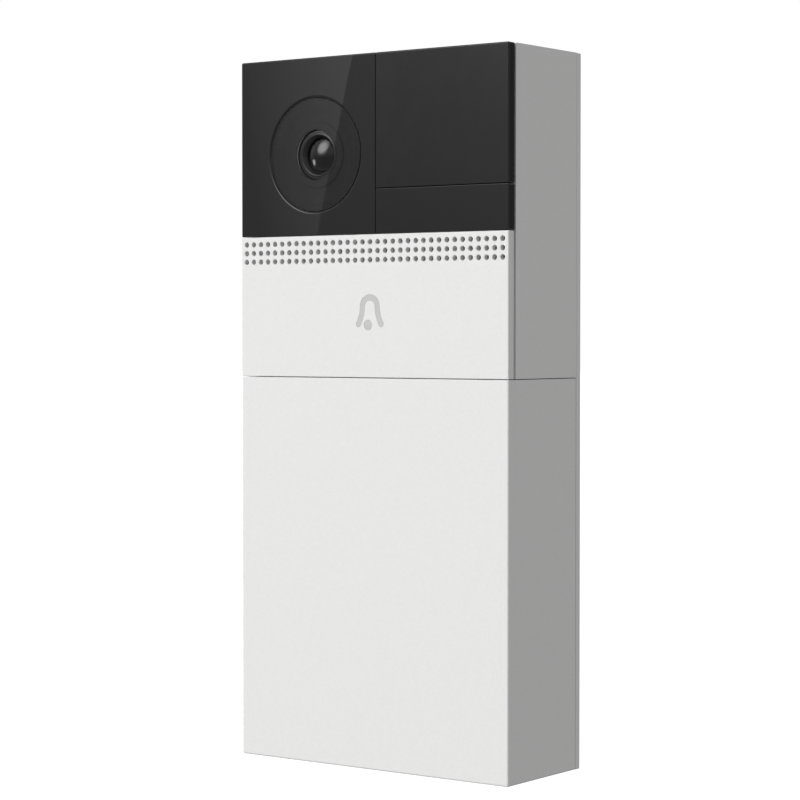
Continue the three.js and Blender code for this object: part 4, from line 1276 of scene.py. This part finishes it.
def sound_and_sensors():
    """The microphone in its boot, the motion sensor, the lamps and the bell switch's plunger."""
    turned("microphone_boot", "rubber", in_mm(
        (0, -18.8), (2.3, -18.8), (2.3, -22.3), (3.2, -22.3), (3.2, -18), (0, -18)))
    turned("microphone", "nickel", in_mm(
        (0, -20.7), (0.4, -20.7), (0.4, -21), (2, -21), (2, -19), (0, -19)), 0.08 * MM)
    motion = centre("motion_sensor")
    turned("motion_sensor", "nickel", in_mm(
        (0, -13.9), (4.6, -13.9), (4.6, -14.7), (4.1, -15), (4.1, -18.4), (0, -18.4)), 0.3 * MM)
    window = rounded_box("motion_filter", (motion.x - 2.4 * MM, -18.5 * MM, motion.z - 1.9 * MM),
                         (motion.x + 2.4 * MM, -18.3 * MM, motion.z + 1.9 * MM), 0.06 * MM)
    extra(window, "lens_black", "satin_black")
    climb = [math.radians(9 * i) for i in range(10)]
    crown = [(2.5 * math.cos(t), -21.6 - 2.2 * math.sin(t)) for t in climb]
    for i in (1, 2):
        turned(f"infrared_lamp_{i}", "clear_lamp", in_mm(
            (0, -13.95), (2.9, -13.95), (2.9, -14.8), (2.5, -14.8), *crown, (0, -23.8)), 0)
    turned("light_sensor", "clear_lamp", in_mm(
        (0, -13.95), (1.6, -13.95), (1.6, -20.9), (1.1, -21.35), (0, -21.5)), 0.3 * MM)
    turned("switch_plunger", "chip_black", in_mm((0, -15.8), (1.75, -15.8), (1.75, -22.25), (0, -22.25)))


# In millimetres: each chip's place (x, z), width and height on the main board.
CHIPS = [(16, 40, 8, 8), (16, 57, 6, 9), (-18, 24, 7, 5), (0, 22, 11, 7), (-19, 44, 5, 5), (-19, 56, 6, 6)]
CHIP_THICKNESS = 0.9
LEAD_PITCH = 0.9
CAPACITOR_ROWS = (28.4, 51.8, 16.2)
CAPACITOR_PITCH = 2


def board_components():
    """Chips with rows of leads, and rows of small capacitors, on the back of the main board."""
    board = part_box("main_board")[1].y / MM
    chips = []
    leads = []
    small = []
    for x, z, width, height in CHIPS:
        chips.append(in_box("chip", (x, z), (width, height), (board, board + CHIP_THICKNESS), 0.12))
        count = int(height / LEAD_PITCH)
        for i in range(count):
            lead_z = z + (i - (count - 1) / 2) * LEAD_PITCH
            for side in (-1, 1):
                lead_x = x + side * (width / 2 + 0.35)
                leads.append(in_box("lead", (lead_x, lead_z), (0.9, 0.35), (board, board + 0.3)))
    for row_z in CAPACITOR_ROWS:
        for i in range(12):
            x = (i - 5.5) * CAPACITOR_PITCH
            small.append(in_box("capacitor", (x, row_z), (1, 0.55), (board, board + 0.5), 0.06))
    extra(gather("board_chips", chips), "chip_black")
    extra(gather("board_leads", leads), "nickel")
    extra(gather("board_capacitors", small), "insulator", "chip_black")


# The parts that keep their CAD shape, and how many millimetres their edges are rounded by.
FINISHED = {
    "grey_tray": [("battery_tray", 0.15)],
    "dark_plastic": [("front_chassis", 0.15), ("lens_holder", 0.2)],
    "rubber": [("chassis_gasket", 0.2), ("tray_seal", 0.25)],
    "circuit_board": [("camera_board", 0.1), ("main_board", 0.1), ("service_board", 0.1)],
    "chip_black": [("image_sensor", 0.1), ("switch_body", 0.25), ("reset_switch", 0.2)],
    "nickel": [("card_slot", 0.08), ("processor_shield", 0.3), ("wireless_module", 0.25)],
    "lens_glass": [("infrared_filter", 0.08)],
    "brass": [("antenna", 0.12)],
}


def finished_parts():
    for material, parts in FINISHED.items():
        for node, width in parts:
            stand_in(soften(whole(node, f"{node}_finished"), width * MM), material, node)


cross_screws()
speaker()
sound_and_sensors()
board_components()
finished_parts()

# ---- Floor and light -------------------------------------------------------------------------

FLOOR_DROP = 100 * MM  # the cover slides down this far below the body
KEY_FROM = Vector((-0.30, -0.88, 0.36)).normalized()
CARD_FROM = Vector((-0.32, -0.79, 0.525)).normalized()
LOW_CARD_FROM = Vector((-0.875, -0.437, -0.206)).normalized()
FLAG_FROM = Vector((0.55, 0.83, 0.13)).normalized()
FLOOR_RADIUS = 12
SOFTBOX_CORNERS = [(-1.04, -0.30), (-0.80, 0.63), (-1.40, 0.63), (-1.40, -0.30)]
SOFTBOX_Y = -1.2
SOFTBOX_SLANT = 0.18  # how its brightness leans with height
LOW_LIGHT = 0.30
HIGH_LIGHT = 0.54
HALO_LIGHT = 0.42


def seen_only_in_gloss(piece):
    piece.visible_camera = False
    piece.visible_diffuse = False
    piece.visible_shadow = False
    piece.visible_transmission = False


def floor():
    bm = bmesh.new()
    bmesh.ops.create_circle(bm, cap_ends=True, segments=96, radius=FLOOR_RADIUS)
    piece = from_bmesh("floor", bm)
    piece.location.z = cad_box[0].z - FLOOR_DROP
    shader = Shader("floor_white", (0.2, 0.2, 0.2), 0.9, Emission_Color=(1, 1, 1, 1), Emission_Strength=1)
    piece.data.materials.append(shader.material)
    piece.visible_diffuse = False
    piece.visible_glossy = False


def area_light(name, towards, distance, size, power):
    """A square soft light facing the origin. Mirrors show the cards instead of it."""
    data = bpy.data.lights.new(name, "AREA")
    data.size = size
    data.energy = power
    lamp = bpy.data.objects.new(name, data)
    lamp.location = towards * distance
    lamp.rotation_euler = towards.to_track_quat("Z", "Y").to_euler()
    lamp.visible_glossy = False
    bpy.context.scene.collection.objects.link(lamp)


class Glow:
    """A see-through material that adds light, for a card that only mirrors show."""

    def __init__(self, name):
        self.material = bpy.data.materials.new(name)
        self.material.use_nodes = True
        self.tree = self.material.node_tree
        self.tree.nodes.clear()
        self.place = add_node(self.tree, "TexCoord", {}).outputs["Object"]

    def shine(self, value, start, end, low, high, smooth=False):
        """The light's strength goes from low to high while a value goes from start to end."""
        strength = map_range(self.tree, value, start, end, low, high, smooth)
        light = add_node(self.tree, "Emission", {"Strength": strength}).outputs["Emission"]
        see_through = add_node(self.tree, "BsdfTransparent", {}).outputs["BSDF"]
        both = add_node(self.tree, "AddShader", {0: light, 1: see_through}).outputs["Shader"]
        add_node(self.tree, "OutputMaterial", {"Surface": both})


def softbox():
    """A tilted card to the left, brightest at its right-hand edge, which the gloss window mirrors."""
    bm = bmesh.new()
    bm.faces.new([bm.verts.new((x, SOFTBOX_Y, z)) for x, z in SOFTBOX_CORNERS])
    piece = from_bmesh("softbox", bm)
    glow = Glow("softbox_glow")
    place = add_node(glow.tree, "SeparateXYZ", {"Vector": glow.place}).outputs
    inputs = {0: place["Z"], 1: SOFTBOX_SLANT, 2: place["X"]}
    slanted = add_node(glow.tree, "Math", inputs, operation="MULTIPLY_ADD").outputs["Value"]
    glow.shine(slanted, -0.983, -0.858, 0, 0.574)
    piece.data.materials.append(glow.material)
    seen_only_in_gloss(piece)


def facing_disc(name, towards, distance, radius):
    """A flat disc that faces the object."""
    bm = bmesh.new()
    bmesh.ops.create_circle(bm, cap_ends=True, segments=48, radius=radius)
    piece = from_bmesh(name, bm)
    piece.location = towards * distance
    piece.rotation_euler = towards.to_track_quat("Z", "Y").to_euler()
    seen_only_in_gloss(piece)
    return piece


def soft_card(name, towards, radius, strength, seen_by=None):
    """A round card, brightest in its middle, that glossy faces mirror: all of them, or one piece's."""
    piece = facing_disc(name, towards, 1.5, radius)
    if seen_by:
        lit = bpy.data.collections.new(f"lit_by_{name}")
        lit.objects.link(bpy.data.objects[seen_by])
        piece.light_linking.receiver_collection = lit
    glow = Glow(f"{name}_glow")
    away = add_node(glow.tree, "VectorMath", {0: glow.place}, operation="LENGTH").outputs["Value"]
    glow.shine(away, 0.35 * radius, radius, strength, 0, smooth=True)
    piece.data.materials.append(glow.material)


def flag():
    """A dim card behind and to the right, which the black windows' side faces mirror."""
    piece = facing_disc("flag", FLAG_FROM, 2, 0.3)
    dim = Shader("flag_grey", (0, 0, 0), 0.9, Emission_Color=(1, 1, 1, 1), Emission_Strength=0.15)
    piece.data.materials.append(dim.material)


def world():
    """White paper to the eye. As light: dimmer below, brighter above, with a halo round the key."""
    made = bpy.data.worlds.new("studio")
    made.use_nodes = True
    tree = made.node_tree
    way = add_node(tree, "TexCoord", {}).outputs["Generated"]
    height = add_node(tree, "SeparateXYZ", {"Vector": way}).outputs["Z"]
    nearness = add_node(tree, "VectorMath", {0: way, 1: KEY_FROM}, operation="DOT_PRODUCT").outputs["Value"]
    strength = add_node(tree, "Math", {
        0: map_range(tree, height, -0.17, 0.34, LOW_LIGHT, HIGH_LIGHT, smooth=True),
        1: map_range(tree, nearness, 0.885, 0.97, 0, HALO_LIGHT, smooth=True),
    }).outputs["Value"]
    light = tree.nodes["Background"]
    paper = add_node(tree, "Background", {})
    for background in (light, paper):
        background.inputs["Color"].default_value = (1, 1, 1, 1)
    tree.links.new(strength, light.inputs["Strength"])
    mix = add_node(tree, "MixShader", {
        "Fac": add_node(tree, "LightPath", {}).outputs["Is Camera Ray"],
        1: light.outputs["Background"],
        2: paper.outputs["Background"],
    })
    tree.links.new(mix.outputs["Shader"], tree.nodes["World Output"].inputs["Surface"])
    bpy.context.scene.world = made


floor()
softbox()
soft_card("key_card", CARD_FROM, radius=0.74, strength=3.6)
soft_card("low_card", LOW_CARD_FROM, radius=0.27, strength=4, seen_by="front_lens")
flag()
world()
area_light("key", KEY_FROM, distance=3.2, size=1.2, power=65.3)
bpy.context.scene.view_settings.view_transform = "Standard"
